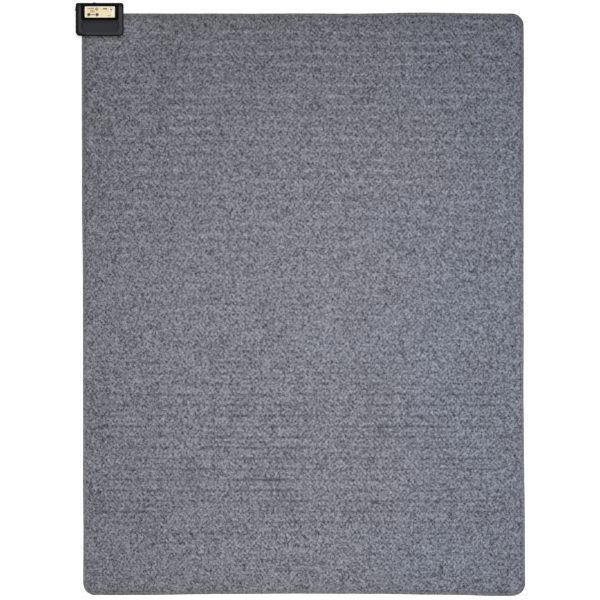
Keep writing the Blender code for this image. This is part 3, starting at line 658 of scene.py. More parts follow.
def notch_lines(lines, edge, inward, radius):
    """The grid lines, with lines through the notch's edge and its rounded corner put in."""
    added = edge + inward * radius * np.linspace(0, 1, NOTCH_STEPS + 1)
    kept = [line for line in lines if np.abs(added - line).min() > radius / (2 * NOTCH_STEPS)]
    return np.array(sorted([*kept, *added]))


def rounded_grid(xs, ys, radius, notch):
    """The grid's points, with those past the mat's corners and the notch's corner drawn in to their arcs."""
    notch_x, notch_y, notch_radius = notch
    across, along = np.meshgrid(xs, ys, indexing="ij")
    half_x, half_y = MAT_HIGH.x - MAT_CORNER, MAT_HIGH.y - MAT_CORNER
    corner_x, corner_y = np.abs(across) - half_x, np.abs(along) - half_y
    distance = np.hypot(corner_x, corner_y)
    snap = (corner_x > 0) & (corner_y > 0) & (distance > radius) & ~((across < 0) & (along > 0))
    share = np.where(snap, radius / np.maximum(distance, MM), 1.0)
    across = np.where(snap, np.sign(across) * (half_x + corner_x * share), across)
    along = np.where(snap, np.sign(along) * (half_y + corner_y * share), along)

    arc_x, arc_y = notch_x - notch_radius, notch_y + notch_radius
    past_x, past_y = across - arc_x, arc_y - along
    distance = np.hypot(past_x, past_y)
    snap = (np.minimum(past_x, past_y) >= 0) & (np.maximum(past_x, past_y) < notch_radius * 1.01)
    snap &= (distance < 1.13 * notch_radius) & (distance > 0)
    share = np.where(snap, notch_radius / np.maximum(distance, LEAST_RADIUS), 1.0)
    return np.where(snap, arc_x + past_x * share, across), np.where(snap, arc_y - past_y * share, along)


def kept_cells(xs, ys, radius, notch):
    """Which cells of the grid lie in the mat's outline and outside the notch."""
    notch_x, notch_y, notch_radius = notch
    x, y = np.meshgrid((xs[:-1] + xs[1:]) / 2, (ys[:-1] + ys[1:]) / 2, indexing="ij")
    corner_x = np.maximum(np.abs(x) - (MAT_HIGH.x - MAT_CORNER), 0)
    corner_y = np.maximum(np.abs(y) - (MAT_HIGH.y - MAT_CORNER), 0)
    past_corner = (np.hypot(corner_x, corner_y) > radius) & ~((x < 0) & (y > 0))
    arc_x, arc_y = notch_x - notch_radius, notch_y + notch_radius
    past_arc = (x > arc_x) & (y < arc_y) & (np.hypot(x - arc_x, y - arc_y) > notch_radius)
    in_notch = (x < notch_x) & (y > notch_y) & ~past_arc
    return ~in_notch & ~past_corner


def sheet_body(name, inset, notch, xs, ys, top, bottom, relief):
    """A sheet with the mat's outline and a notch, which is its right edge, near edge and corner radius.

    relief gives how far each point of its top lies below top. Its rim goes straight down to bottom.
    """
    xs = notch_lines(xs, notch[0], -1, notch[2])
    ys = notch_lines(ys, notch[1], 1, notch[2])
    across, along = rounded_grid(xs, ys, MAT_CORNER - inset, notch)
    keep = kept_cells(xs, ys, MAT_CORNER - inset, notch)
    number = np.arange(across.size).reshape(across.shape)
    corners = (number[:-1, :-1], number[1:, :-1], number[1:, 1:], number[:-1, 1:])
    used, quads = np.unique(np.stack([corner[keep] for corner in corners], 1), return_inverse=True)
    x, y = across.ravel()[used], along.ravel()[used]
    points = np.stack([*stretched(x, y), top - relief(x, y)], 1)
    quads = quads.reshape(-1, 4).tolist()
    edges = {(quad[k - 1], quad[k]) for quad in quads for k in range(4)}
    following = {a: b for a, b in edges if (b, a) not in edges}
    around = [min(following)]
    while following[around[-1]] != around[0]:
        around.append(following[around[-1]])
    lower = range(len(points), len(points) + len(around))
    sides = [(around[k], around[k - 1], lower[k - 1], lower[k]) for k in range(len(around))]
    lowered = [(*points[k][:2], bottom) for k in around]
    return add_mesh(name, [*points, *lowered], [*quads, *sides, lower], 60)


def mat_rows(rows_per_run, low, high):
    """Grid lines along the mat that fall on every heater run, with the ends added."""
    step = RUN_PITCH / rows_per_run
    first = MAT_HIGH.y - WIRE_END_MARGIN
    ys = [first - k * step for k in range(-int((high - first) / step), int((first - low) / step) + 1)]
    return np.array(sorted([low, high] + [y for y in ys if low + step / 2 < y < high - step / 2]))


def wire_distance(xs, ys):
    """How far each point lies from the heater wire, seen from above."""
    wire = frame["nodes"]["heater_wire"].data
    tree = BVHTree.FromPolygons([v.co for v in wire.vertices], [p.vertices for p in wire.polygons])
    level = (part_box("nonslip_backing")[1].z + FELT_LOW.z) / 2 + MM
    wire_radius = MM
    return np.array([tree.find_nearest(Vector((x, y, level)))[3] + wire_radius for x, y in zip(xs, ys)])


def run_shares(xs, ys, width):
    """How nearly each point lies on a heater run, and how nearly midway between two, from 0 to 1."""
    away = wire_distance(xs, ys)
    return np.exp(-((away / width) ** 2)), np.exp(-(((away - RUN_PITCH / 2) / width) ** 2))


def edge_distance(xs, ys):
    """How far each point lies inside the mat's outline."""
    to_x = MAT_HIGH.x - np.abs(xs)
    to_y = MAT_HIGH.y - np.abs(ys)
    corner = MAT_CORNER - np.hypot(np.maximum(MAT_CORNER - to_x, 0), np.maximum(MAT_CORNER - to_y, 0))
    in_corner = (to_x < MAT_CORNER) & (to_y < MAT_CORNER)
    return np.where(in_corner, corner, np.minimum(to_x, to_y))


def case_distance(xs, ys):
    """How far each point lies outside the controller's rounded outline, and negative under it."""
    centre = (CASE_LOW + CASE_HIGH) / 2
    half = (CASE_HIGH - CASE_LOW) / 2
    past_x = np.abs(xs - centre.x) - (half.x - CASE_NEAR_RADIUS)
    past_y = np.abs(ys - centre.y) - (half.y - CASE_NEAR_RADIUS)
    outside = np.hypot(np.maximum(past_x, 0), np.maximum(past_y, 0))
    return outside + np.minimum(np.maximum(past_x, past_y), 0) - CASE_NEAR_RADIUS


def waves(xs, ys, across, along, level):
    """Smooth noise at each point, with this many waves a metre across and along the mat."""
    return np.array([noise.noise(Vector((x * across, y * along, level))) for x, y in zip(xs, ys)])


def uneven(xs, ys):
    """A factor by which the runs show more in some places than in others."""
    return np.clip(1.0 + 1.1 * waves(xs, ys, 7, 12, 9.1), 0.25, 1.6)


def felt_relief(xs, ys):
    """Grooves along the heater runs and midway, soft lumps, and the dip under the tape and the case.

    The runs are pressed in deeper towards the near end of the mat.
    """
    depth = GROOVE_DEPTH[0] + (GROOVE_DEPTH[1] - GROOVE_DEPTH[0]) * smoothstep(0.25, -0.55, ys)
    line, midway = run_shares(xs, ys, GROOVE_WIDTH)
    grooves = depth * uneven(xs, ys) * (line + MIDWAY_SHARE * midway)
    lumps = waves(xs, ys, 9, 9, 0.3) * 0.35 + waves(xs, ys, 45, 45, 4.7) * 0.22
    near_tape = 1 - smoothstep(LIP - 1.5 * MM, LIP + 7 * MM, edge_distance(xs, ys))
    near_case = 1 - smoothstep(-0.5 * MM, 9 * MM, case_distance(xs, ys))
    under = np.maximum(near_tape, near_case)
    return under * (FELT_HIGH.z - FELT_RIM[1]) + (1 - under) * (grooves + lumps * MM + 0.25 * MM)


def make_felt():
    inset = FELT_RIM_INSET
    notch = (CASE_HIGH.x - 14 * MM, CASE_LOW.y + 14 * MM, 4 * MM)
    xs = grid_lines(MAT_LOW.x + inset, MAT_HIGH.x - inset, 10.5 * MM, 3.6 * MM, 84 * MM)
    ys = mat_rows(ROWS_PER_RUN, MAT_LOW.y + inset, MAT_HIGH.y - inset)
    felt = sheet_body("surface_felt_cloth", inset, notch, xs, ys, FELT_HIGH.z, FELT_RIM[0], felt_relief)
    add_shading_and_tone(felt)
    return finish_piece(felt, heather_look(), replaces=["surface_felt"])


def add_shading_and_tone(felt):
    """Painted light and shade for the felt's material: 0.5 is even, more is darker, less is lighter.

    Along the heater runs a painted highlight towards the far end turns to painted shade towards the near one,
    with weaker painted shade midway between runs towards the near end. The felt is also darker in a narrow
    band along the tape and towards both ends.
    """
    places = np.empty(len(felt.data.vertices) * 3, np.float32)
    felt.data.vertices.foreach_get("co", places)
    xs, ys, _ = places.reshape(-1, 3).T
    # Painted highlight along the runs towards the far end, painted shade towards the near end and midway
    # between runs.
    line, midway = run_shares(xs, ys, LINE_WIDTH)
    near_share = smoothstep(0.62, -0.50, ys) * (1 - 0.35 * smoothstep(-0.60, -0.76, ys))
    line_share = LINE_FAR + (LINE_NEAR - LINE_FAR) * near_share
    midway_share = MIDWAY_NEAR * smoothstep(0.5, 0.0, ys)
    edge = 1 - smoothstep(LIP, LIP + 4 * MM, edge_distance(xs, ys))
    ends = 1 - smoothstep(LIP, WEAR_REACH, MAT_HIGH.y - np.abs(ys))
    lines = uneven(xs, ys) * (line * line_share + midway * midway_share)
    shading_and_tone = 0.5 + lines * (1 - 0.6 * ends) + 0.2 * edge + 0.10 * ends
    add_attribute(felt, "shading_and_tone", np.clip(shading_and_tone, 0, 1))


def under_sheet(name, node, cells, rows_per_run, bottom, relief):
    """A sheet under the felt, in the box of its node, notched for the case."""
    low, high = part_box(node)
    notch = (CASE_HIGH.x + CASE_MARGIN, CASE_LOW.y - CASE_MARGIN, CASE_NEAR_RADIUS + CASE_MARGIN)
    xs = grid_lines(low.x, high.x, cells, 8 * MM, 40 * MM)
    ys = mat_rows(rows_per_run, low.y, high.y)
    return sheet_body(name, MAT_HIGH.x - high.x, notch, xs, ys, high.z, bottom, relief)


def pad_dimples(xs, ys):
    return 0.12 * MM * (1 + np.sin(xs * 2 * math.pi / 0.044) * np.sin(ys * 2 * math.pi / RUN_PITCH))


def make_pad():
    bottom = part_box("insulating_pad")[0].z
    pad = under_sheet("insulating_pad_fleece", "insulating_pad", 22 * MM, 3, bottom, pad_dimples)
    look = fibre_look("pad_fleece", (0.24, 0.24, 0.25), (0.42, 0.42, 0.43), 12 * MM)
    return finish_piece(pad, look, replaces=["insulating_pad"])


def make_backing():
    """The underside's cloth, with rows of rubber dots that stand on the floor."""
    low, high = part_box("nonslip_backing")
    bottom = low.z + 0.4 * MM
    cloth = under_sheet("backing_cloth", "nonslip_backing", 40 * MM, 1, bottom, lambda xs, ys: 0 * xs)
    look = fibre_look("backing_cloth", (0.070, 0.071, 0.078), (0.135, 0.137, 0.148), 8 * MM)
    finish_piece(cloth, look, replaces=["nonslip_backing"])

    rows = int((high.y - low.y - 2 * MAT_CORNER) / DOT_ROW_PITCH)
    columns = int((high.x - low.x - 2 * DOT_PITCH) / DOT_PITCH)
    bodies = []
    for row in range(rows + 1):
        for column in range(columns + 1):
            x = (column - columns / 2 + (0.25 if row % 2 else -0.25)) * DOT_PITCH
            y = (row - rows / 2) * DOT_ROW_PITCH
            if x < CASE_HIGH.x + DOT_PITCH and y > CASE_LOW.y - DOT_PITCH:
                continue
            dot = disc((x, y), DOT_RADIUS, DOT_SIDES)
            levels = ((0, bottom + 0.05 * MM), (0.28 * DOT_RADIUS, low.z))
            bodies.append([[(u, v, level) for u, v in dot(inset)] for inset, level in levels])
    dots = many("backing_dots", bodies, smooth=60)
    dot_look = plastic_look("dot_rubber", (0.050, 0.051, 0.056), 0.7, 0.5 * MM, 0.05 * MM, 0.3)
    finish_piece(dots, dot_look)
    return cloth, dots


def edge_path(spacing):
    """Stations (place, outward direction, way along) round the mat's edge, from the case back to it."""
    place = Vector((CASE_HIGH.x + CASE_MARGIN, MAT_HIGH.y, 0))
    width = MAT_HIGH.x - MAT_LOW.x - 2 * MAT_CORNER
    length = MAT_HIGH.y - MAT_LOW.y - 2 * MAT_CORNER
    first = MAT_HIGH.x - MAT_CORNER - place.x
    last = CASE_LOW.y - CASE_MARGIN - (MAT_LOW.y + MAT_CORNER)
    bend = MAT_CORNER * math.pi / 2
    bends = math.ceil(bend / (spacing * 0.75))
    stations = []
    heading, way = 0.0, 0.0
    for number, run in enumerate((first, length, width, last)):
        count = math.ceil(run / spacing)
        ahead = Vector((math.cos(heading), math.sin(heading), 0))
        outward = Vector((-ahead.y, ahead.x, 0))
        for k in range(count + 1):
            stations.append((place + ahead * (run * k / count), outward, way + run * k / count))
        place = place + ahead * run
        way += run
        if number == 3:
            break
        centre = place - outward * MAT_CORNER
        for k in range(1, bends):
            turn = heading - math.pi / 2 * k / bends
            spoke = Vector((-math.sin(turn), math.cos(turn), 0))
            stations.append((centre + spoke * MAT_CORNER, spoke, way + bend * k / bends))
        heading -= math.pi / 2
        place = centre + Vector((-math.sin(heading), math.cos(heading), 0)) * MAT_CORNER
        way += bend
    return stations


def edge_swell(way):
    """How far the tape's fold stands out at this way round the edge, which is never quite even."""
    long_wave = math.sin(2 * math.pi * way / 0.41) + math.sin(2 * math.pi * way / 0.27 + 1.3)
    short_wave = math.sin(2 * math.pi * way / 0.083 + 0.4)
    return (0.55 + 0.22 * long_wave + 0.11 * short_wave) * MM


def stretched(x, y):
    """Where a point of the mat's cloth really lies. The mat is cut and laid a little out of true."""
    near_share = smoothstep(-0.25, -0.80, y)
    left = LEAN * (smoothstep(-0.10, 0.45, y) - 0.3 * near_share) * smoothstep(0.0, MAT_LOW.x, x)
    right = 1.4 * LEAN * near_share * smoothstep(0.0, MAT_HIGH.x, x)
    far = 0.8 * LEAN * np.exp(-(((x - 0.37) / 0.13) ** 2)) * smoothstep(0.0, MAT_HIGH.y, y)
    wave = 0.5 - 1.1 * np.exp(-((x / 0.36) ** 4)) + 0.9 * np.exp(-(((x - 0.58) / 0.08) ** 2))
    near = LEAN * wave * smoothstep(0.0, MAT_LOW.y, y)
    return x - left + right, y + far - near


# The tape's section in millimetres: how far out from the mat's edge, and how high
TAPE_OUTER = [
    (-8.0, 8.15), (-7.5, 8.55), (-6.4, 8.78), (-5.6, 8.62), (-5.0, 8.30), (-4.4, 8.62), (-3.4, 8.76),
    (-2.2, 8.60), (-1.2, 8.05), (-0.5, 7.10), (-0.1, 5.80), (0.0, 4.30), (0.0, 2.60), (-0.1, 1.40),
    (-0.45, 0.55), (-1.1, 0.08), (-2.4, 0.0), (-4.4, 0.0), (-5.0, 0.30), (-5.6, 0.0), (-8.0, 0.0),
]
TAPE_INNER = [
    (-8.0, 0.50), (-5.6, 0.60), (-5.0, 0.85), (-4.4, 0.60), (-2.2, 0.60), (-0.95, 0.80), (-0.65, 1.60),
    (-0.6, 4.00), (-0.65, 6.20), (-0.95, 7.10), (-1.7, 7.75), (-2.8, 8.05), (-4.2, 8.08), (-5.0, 7.85),
    (-5.8, 8.08), (-7.2, 7.95), (-7.8, 7.75),
]


def make_binding():
    rings = []
    for place, outward, way in edge_path(6 * MM):
        swell = edge_swell(way)
        pucker = 0.16 * math.sin(2 * math.pi * way / (2 * STITCH_PITCH)) + 0.12 * math.sin(way * 61)
        ring = []
        for out, level in TAPE_OUTER + TAPE_INNER:
            stand = 1 + out / 8.0
            lift = pucker * (1 - stand) if level > 4 else 0.0
            point = place + outward * (out * MM + swell * stand)
            ring.append(Vector((*stretched(point.x, point.y), (level + lift) * MM)))
        rings.append(ring)
    tape = loft("edge_tape", rings, smooth=60)
    return finish_piece(tape, tape_look(), replaces=["edge_binding"])


def make_stitching():
    """A lockstitch along the tape, above and below."""
    path = edge_path(STITCH_PITCH)
    turns = [2 * math.pi * k / 5 for k in range(5)]
    waist = [(-0.5, 0.35), (-0.3, 0.95), (0.3, 0.95), (0.5, 0.35)]
    bodies = []
    for (place, outward, way), (following, _, _) in zip(path, path[1:]):
        ahead = following - place
        if ahead.length < STITCH_PITCH / 2:
            continue
        ahead.normalize()
        centre = (place + following) / 2 + outward * (STITCH_LINE + edge_swell(way) * 0.375)
        for level, thickness, up in ((8.46 * MM, 0.30 * MM, 1), (0.30 * MM, 0.26 * MM, -1)):
            rings = []
            for share, fullness in waist:
                radius = thickness * fullness
                middle = centre + ahead * (share * STITCH_LENGTH)
                height = level - up * (1 - fullness) * 0.25 * MM
                points = [(middle + outward * (math.cos(t) * radius), math.sin(t) * radius) for t in turns]
                rings.append([(*stretched(p.x, p.y), height + rise) for p, rise in points])
            bodies.append(rings)
    return finish_piece(many("edge_stitching", bodies, smooth=80), THREAD)


# ---------------------------------------------------------------- controller


def cover_cutters(outline, bay_near, roof_under_bay):
    """What is cut from the case's upper shell: its hollows, the label's bay and the shallow panel."""
    top, below, above = CASE_HIGH.z, CASE_LOW.z - BEYOND, CASE_HIGH.z + BEYOND
    insert_low, insert_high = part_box("panel_insert")
    hollow = block("hollow", outline, [(CASE_WALL, below), (CASE_WALL, roof_under_bay)])
    near_x = (CASE_LOW.x + CASE_WALL, CASE_HIGH.x - CASE_WALL)
    near_y = (CASE_LOW.y + CASE_WALL, bay_near - CASE_WALL)
    near_radius = CASE_NEAR_RADIUS - CASE_WALL
    near_area = rounded_rectangle(near_x, near_y, (near_radius, near_radius, MM, MM))
    near_hollow = prism(near_area, roof_under_bay - MM, top - CASE_WALL)
    bay_x = (insert_low.x - BAY_GAP, insert_high.x + BAY_GAP)
    bay_area = rounded_rectangle(bay_x, (bay_near, CASE_HIGH.y + 8 * MM), BAY_CORNERS)
    bay_stations = [(0, insert_low.z - 0.3 * MM)] + flare(top, LIP_ROUND) + [(-LIP_ROUND, above)]
    panel_area = rounded_rectangle(*case_span(PANEL_X, PANEL_Y), (PANEL_CORNER,) * 4)
    panel_floor = rim(top - PANEL_DEPTH, 0.25 * MM, upper=False, steps=3)
    panel_stations = panel_floor + flare(top, 0.25 * MM) + [(-0.25 * MM, above)]
    bay = block("bay", bay_area, bay_stations)
    return hollow, near_hollow, bay, block("panel", panel_area, panel_stations)


def make_cover():
    """The case's upper shell: rounded rim, label bay, shallow panel, lever slot and screw bosses."""
    radii = (CASE_NEAR_RADIUS, CASE_NEAR_RADIUS, CASE_FAR_RADIUS, CASE_FAR_RADIUS)
    outline = rounded_rectangle((CASE_LOW.x, CASE_HIGH.x), (CASE_LOW.y, CASE_HIGH.y), radii, 14)
    top, below, above = CASE_HIGH.z, CASE_LOW.z - BEYOND, CASE_HIGH.z + BEYOND
    parting = rim(CASE_LOW.z, 0.3 * MM, upper=False, steps=3)
    wall_top = (0, top - CASE_EDGE_ROUND - WALL_FADE)
    cover = block("case_cover", outline, parting + [wall_top] + rim(top, CASE_EDGE_ROUND, steps=10))
    insert_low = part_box("panel_insert")[0]
    bay_near = insert_low.y - BAY_GAP
    roof_under_bay = insert_low.z - 2.7 * MM
    carve(cover, *cover_cutters(outline, bay_near, roof_under_bay))
    for node in CONTROLS:
        carve(cover, prism(disc(centre_of(node), HOLE_RADIUS), below, above))
    carve(cover, *lever_ways())
    gland = centre_of("cord_gland")
    gland_area = disc((gland.y, gland.z), 4.9 * MM)
    carve(cover, prism(gland_area, CASE_LOW.x - BEYOND, CASE_LOW.x + BEYOND, along_x))
    for number in range(1, 5):
        screw_low, screw_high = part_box(f"case_screw_{number}")
        place = (screw_low + screw_high) / 2
        ceiling = top - CASE_WALL if place.y < bay_near else roof_under_bay
        carve(cover, prism(disc(place, 3.6 * MM, 32), CASE_LOW.z, ceiling + MM), operation="UNION")
        carve(cover, prism(disc(place, 1.6 * MM, 24), below, screw_high.z + 2 * MM))
    add_case_zones(cover)
    return finish_piece(cover, case_look(), replaces=["upper_case"])


def add_case_zones(cover):
    """Marks for the material: the walls under the rounded rim, and the floor of the shallow panel."""
    (x0, x1), (y0, y1) = case_span(PANEL_X, PANEL_Y)
    rim_low = CASE_HIGH.z - CASE_EDGE_ROUND
    places = [vertex.co for vertex in cover.data.vertices]
    add_attribute(cover, "wall", [1 - smoothstep(rim_low - WALL_FADE, rim_low, z) for _, _, z in places])
    in_panel = [x0 - MM < x < x1 + MM and y0 - MM < y < y1 + MM for x, y, _ in places]
    sunk = [z < CASE_HIGH.z - PANEL_DEPTH / 2 for _, _, z in places]
    add_attribute(cover, "panel", np.logical_and(in_panel, sunk))


def lever_ways():
    """The lever's slot through the far wall, and the sunk track round it."""
    centre = centre_of("temperature_lever")
    travel = max(j["range_m"][1] for j in frame["joints"] if j["child"] == "heat_lever")
    reach = travel + 2.8 * MM
    slot_area = rectangle(centre.x, centre.z, reach, 2.4 * MM, 0.6 * MM, 4)
    slot = prism(slot_area, CASE_HIGH.y - CASE_WALL - BEYOND, CASE_HIGH.y + BEYOND, along_y)
    track_area = rectangle(centre.x, centre.z, reach + 3 * MM, 4.4 * MM, 0.9 * MM, 5)
    opening = flare(CASE_HIGH.y, 0.4 * MM) + [(-0.4 * MM, CASE_HIGH.y + BEYOND)]
    return slot, block("track", track_area, [(0, CASE_HIGH.y - CASE_WALL / 2)] + opening, along_y)


def holed_plate(name, node, radii, edge, look):
    """A thin plate with a rounded rim and holes for the buttons and the lamp."""
    low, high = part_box(node)
    outline = rounded_rectangle((low.x, high.x), (low.y, high.y), radii)
    plate = block(name, outline, rim(low.z, edge, False, 3) + rim(high.z, edge, True, 3))
    for control in CONTROLS:
        stations = [(0, low.z - MM)] + flare(high.z, edge, 3) + [(-edge, high.z + MM)]
        carve(plate, block("hole", disc(centre_of(control), HOLE_RADIUS), stations))
    return finish_piece(plate, look, replaces=[node])


def make_label():
    """The insert, the label's film and its plain printed marks, which are thin raised areas of ink."""
    insert_look = plastic_look("insert_plastic", (0.0022, 0.0020, 0.0018), 0.55, specular=0.03)
    holed_plate("panel_insert_plate", "panel_insert", BAY_CORNERS, 0.25 * MM, insert_look)
    holed_plate("control_label_film", "control_label", (2 * MM,) * 4, 0.08 * MM, LABEL)
    low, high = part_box("control_label")
    ink = (high.z + 0.01 * MM, high.z + 0.06 * MM)

    def area(x0, x1, y0, y1, radius):
        """A rounded area, placed from the label's near left corner in millimetres."""
        x_range = (low.x + x0 * MM, low.x + x1 * MM)
        y_range = (low.y + y0 * MM, low.y + y1 * MM)
        return rounded_rectangle(x_range, y_range, (radius * MM,) * 4, 4)

    def mark(x0, x1, y0, y1, radius=0.3):
        return prism(area(x0, x1, y0, y1, radius), *ink)

    def ring(centre, outer, inner):
        levels = [(outer, ink[0]), (outer, ink[1]), (inner, ink[1]), (inner, ink[0])]
        loops = [[(u, v, z) for u, v in disc(centre, radius * MM)()] for radius, z in levels]
        return loft("ring", loops, ring_closed=True)

    ground = [(0, high.z - 0.02 * MM), (0, high.z + 0.03 * MM)]
    printed = block("label_ground", area(5.2, 80.6, 2.4, 30.6, 1.0), ground)
    for control in CONTROLS:
        carve(printed, prism(disc(centre_of(control), HOLE_RADIUS + 0.3 * MM), low.z, high.z + MM))
    finish_piece(printed, cream_look())

    power, timer, lamp = [centre_of(control) for control in CONTROLS]
    badge = Vector((low.x + 35.9 * MM, low.y + 25.0 * MM, 0))
    gold = [prism(disc(badge, 3.0 * MM, 32), *ink), ring(badge, 5.2, 3.7)]
    gold += [heat_wave(low, 17.6 + 2.7 * k, ink) for k in range(5)]
    gold += [mark(17.9 + 2.2 * k, 19.5 + 2.2 * k, 25.0, 28.8) for k in range(5)]
    olive = [mark(8.2 + 2.3 * k, 10.1 + 2.3 * k, 25.4, 26.7 + 0.7 * k) for k in range(4)]
    olive.append(ring(lamp, 5.2, 4.1))
    brown = [mark(55.0, 67.2, 24.0, 28.2, 1.2)] + [ring(button, 5.3, 4.1) for button in (power, timer)]
    rose = [mark(18.4, 31.0, 6.4, 10.8, 1.4), mark(68.4, 79.4, 4.6, 6.2, 0.6)]
    inks = {
        "gold": (gold, (0.33, 0.20, 0.035), 0.45, 0.3, 0.08),
        "olive": (olive, (0.17, 0.12, 0.035), 0.45, 0.3, 0.08),
        "brown": (brown, (0.16, 0.115, 0.085)),
        "rose": (rose, (0.38, 0.30, 0.29)),
    }
    for colour, (marks, *look) in inks.items():
        finish_piece(merge(f"label_print_{colour}", marks), ink_look(f"{colour}_ink", *look))


def heat_wave(low, x, ink):
    """One of the rising wavy lines that stand for warmth."""
    steps, half = 16, 0.75
    left, right = [], []
    for k in range(steps + 1):
        rise = 14.4 + 8.8 * k / steps
        sway = 0.6 * math.sin(2 * math.pi * k / steps)
        left.append((low.x + (x + sway - half) * MM, low.y + rise * MM))
        right.append((low.x + (x + sway + half) * MM, low.y + rise * MM))
    return loft("wave", [[(u, v, level) for u, v in left + right[::-1]] for level in ink])


def make_button(name, node, body):
    """A cap with a rounded rim and a dished top, on its flange and stem."""
    low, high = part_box(node)
    flange, cap, stem = 5 * MM, 3.4 * MM, 1.5 * MM
    flange_low, flange_high = high.z - 7.2 * MM, high.z - 6.0 * MM
    stations = [(flange - stem, low.z), (flange - stem, flange_low)]
    stations += rim(flange_low, FLANGE_EDGE, False, 1) + rim(flange_high, FLANGE_EDGE, True, 1)
    stations.append((flange - cap, flange_high))
    stations += [(flange - cap + inset, level) for inset, level in rim(high.z, 0.6 * MM)]
    dish = [(0.62, 0.05), (0.45, 0.14), (0.25, 0.19), (0.04, 0.21)]
    stations += [(flange - cap * share, high.z - drop * MM) for share, drop in dish]
    button = block(name, disc(centre_of(node), flange), stations)
    return finish_piece(button, BUTTON, body=body, replaces=[node])


def make_lens():
    low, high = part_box("lamp_lens")
    flange, face, pipe = 4.4 * MM, 3.2 * MM, 2.2 * MM
    flange_low, flange_high = high.z - 6.3 * MM, high.z - 5.3 * MM
    shoulder = high.z - 0.6 * MM
    stations = [(flange - pipe, low.z), (flange - pipe, flange_low), (0, flange_low), (0, flange_high)]
    stations += [(flange - face, flange_high), (flange - face, shoulder)]
    dome = quarter(7)[1:]
    stations += [(flange - face * math.cos(t), shoulder + (high.z - shoulder) * math.sin(t)) for t in dome]
    lens = block("lamp_lens_dome", disc(centre_of("lamp_lens"), flange), stations)
    return finish_piece(lens, lens_look(), replaces=["lamp_lens"])


def make_lever():
    """The lever's head with ribs for a fingertip, and its neck with the wiper's socket."""
    low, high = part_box("temperature_lever")
    centre = centre_of("temperature_lever")
    head_near = CASE_HIGH.y - CASE_WALL / 2 + 0.3 * MM
    shoulder = high.y - 0.5 * MM
    area = rounded_rectangle((low.x, high.x), (low.z, high.z), (1.2 * MM,) * 4, 5)
    head = block("lever_head", area, rim(head_near, 0.3 * MM, False, 3) + rim(shoulder, 0.6 * MM), along_y)
    neck = rectangle(centre.x, centre.z, 2.5 * MM, 2 * MM, 0.4 * MM, 3)
    carve(head, prism(neck, low.y, head_near + 0.8 * MM, along_y), operation="UNION")
    socket = rectangle(centre.x, centre.z, 1.8 * MM, 0.9 * MM, 0.1 * MM, 2)
    carve(head, prism(socket, low.y - MM, head_near + 0.2 * MM, along_y))
    for k in range(-2, 3):
        half_height = (high.z - low.z) / 2 - 1.2 * MM
        rib_area = rectangle(centre.x + 1.6 * MM * k, centre.z, 0.4 * MM, half_height, 0.35 * MM, 4)
        rib = block("rib", rib_area, [(0, shoulder - 0.3 * MM)] + rim(high.y, 0.25 * MM, steps=3), along_y)
        carve(head, rib, operation="UNION")
    return finish_piece(head, BUTTON, body="heat_lever", replaces=["temperature_lever"])


def make_scale():
    """Moulded ticks over the lever's track, which grow towards the warm end."""
    centre = centre_of("temperature_lever")
    base = centre.z + 5.6 * MM
    stations = [(0, CASE_HIGH.y - 0.5 * MM)] + rim(CASE_HIGH.y + 0.25 * MM, 0.15 * MM, steps=3)
    ticks = []
    for k in range(7):
        half_height = (0.6 + 0.175 * k) * MM
        area = rectangle(centre.x + (k - 3) * 6 * MM, base + half_height, 0.45 * MM, half_height, 0.4 * MM, 4)
        ticks.append(block("tick", area, stations, along_y))
    return finish_piece(merge("lever_scale", ticks), LABEL)


def make_gland():
    """The rubber ring that guards the mains cord's way in, with a rounded nose."""
    low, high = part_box("cord_gland")
    centre = centre_of("cord_gland")
    wall_in = CASE_LOW.x + CASE_WALL + 0.3 * MM
    wall_out = CASE_LOW.x - 0.3 * MM
    flange, neck, bore = 5.6 * MM, 4.6 * MM, 3.6 * MM
    nose = [(wall_out, flange - 0.2 * MM), (wall_out - 0.3 * MM, flange), (wall_out - 0.8 * MM, flange)]
    nose += [(low.x + 0.35 * MM, flange - 0.45 * MM), (low.x, flange - MM)]
    nose += [(low.x, bore + 0.35 * MM), (low.x + 0.35 * MM, bore)]
    inside = [(high.x, bore), (high.x, flange - 0.3 * MM), (high.x - 0.3 * MM, flange)]
    section = nose + inside + [(wall_in, flange), (wall_in, neck), (wall_out, neck)]
    sides = 64
    turns = [2 * math.pi * k / sides for k in range(sides)]
    rings = [[(x, centre.y + r * math.cos(t), centre.z + r * math.sin(t)) for x, r in section] for t in turns]
    look = plastic_look("gland_rubber", (0.010, 0.010, 0.011), 0.75, 0.3 * MM, 0.04 * MM, 0.25)
    gland = loft("cord_gland_ring", rings, ring_closed=True)
    return finish_piece(gland, look, replaces=["cord_gland"])


# ---------------------------------------------------------------- stage


def make_stage():
    reach = 40
    square = [(-reach, -reach, 0), (reach, -reach, 0), (reach, reach, 0), (-reach, reach, 0)]
    floor = add_mesh("floor", square, [(0, 1, 2, 3)])
    floor.location.z = -0.3 * MM
    look = Look("pale_floor", roughness=0.9)
    look.set(base_color=(0.9, 0.9, 0.9), specular_ior_level=0.1)
    look.set(emission_color=(1.0, 1.0, 1.0), emission_strength=0.42)
    floor.data.materials.append(look.material)


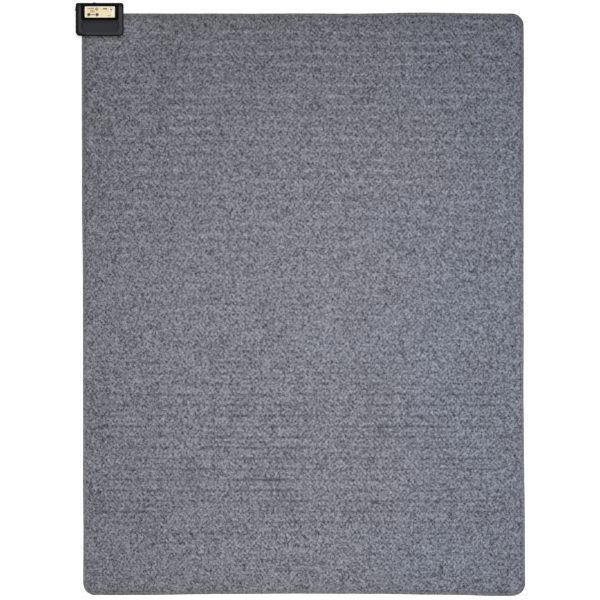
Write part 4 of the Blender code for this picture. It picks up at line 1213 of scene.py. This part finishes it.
def make_world():
    """Bright overhead and dimmer towards the horizon, as in a studio with a white ceiling."""
    world = bpy.data.worlds.new("studio")
    bpy.context.scene.world = world
    world.use_nodes = True
    tree = world.node_tree
    kinds = ("ShaderNodeTexCoord", "ShaderNodeSeparateXYZ", "ShaderNodeMapRange", "ShaderNodeMix")
    coordinates, split, remap, mix = [tree.nodes.new(kind) for kind in kinds]
    mix.data_type = "RGBA"
    mix.inputs[6].default_value = (0.16, 0.16, 0.165, 1)
    mix.inputs[7].default_value = (0.45, 0.45, 0.46, 1)
    tree.links.new(coordinates.outputs["Generated"], split.inputs[0])
    tree.links.new(split.outputs["Z"], remap.inputs["Value"])
    tree.links.new(remap.outputs["Result"], mix.inputs["Factor"])
    tree.links.new(mix.outputs[2], tree.nodes["Background"].inputs["Color"])


def add_light(kind, name, place, target, power, **settings):
    data = bpy.data.lights.new(name, kind)
    data.energy = power
    for key, value in settings.items():
        setattr(data, key, value)
    light = add_object(name, data)
    light.location = place
    light.rotation_euler = (Vector(target) - Vector(place)).to_track_quat("-Z", "Y").to_euler()


def add_spot(name, x, y, height, power, spread_deg, softness):
    """A spotlight that shines straight down, brightest in its middle."""
    settings = {"spot_size": math.radians(spread_deg), "spot_blend": 1.0, "shadow_soft_size": softness}
    add_light("SPOT", name, (x, y, height), (x, y, 0), power, **settings)


def make_camera():
    """Straight down from high above, with the mat a little right of the middle and below it."""
    data = bpy.data.cameras.new("camera")
    height = 30.0
    view_width = 1.818
    data.sensor_width = 36
    data.lens = data.sensor_width * height / view_width
    data.clip_end = 50
    camera = add_object("camera", data)
    camera.location = (-0.0101, 0.0121, height + FELT_HIGH.z)
    bpy.context.scene.camera = camera


def corners(bounds):
    return [[round(float(x), 6) for x in corner] for corner in bounds]


bpy.context.scene.view_settings.view_transform = "Standard"
make_camera()
make_stage()
make_world()
add_light("SUN", "key", (0.3, 1.2, 5.0), (0, 0, 0), 1.10, angle=math.radians(28))
add_spot("pool", 0.11, -0.33, 6.0, 860, 25, 0.5)
add_spot("corner", -0.617, 0.885, 3.0, 82, 5.5, 0.1)

for look, nodes in CARRIED_OVER:
    for node in nodes:
        for material_slot in frame["nodes"][node].material_slots:
            material_slot.material = look

felt = make_felt()
pad = make_pad()
cloth, dots = make_backing()
tape = make_binding()
stitching = make_stitching()
make_cover()
make_label()
make_button("power_cap", "power_button", "power_key")
make_button("timer_cap", "timer_button", "timer_key")
make_lens()
make_lever()
make_scale()
make_gland()
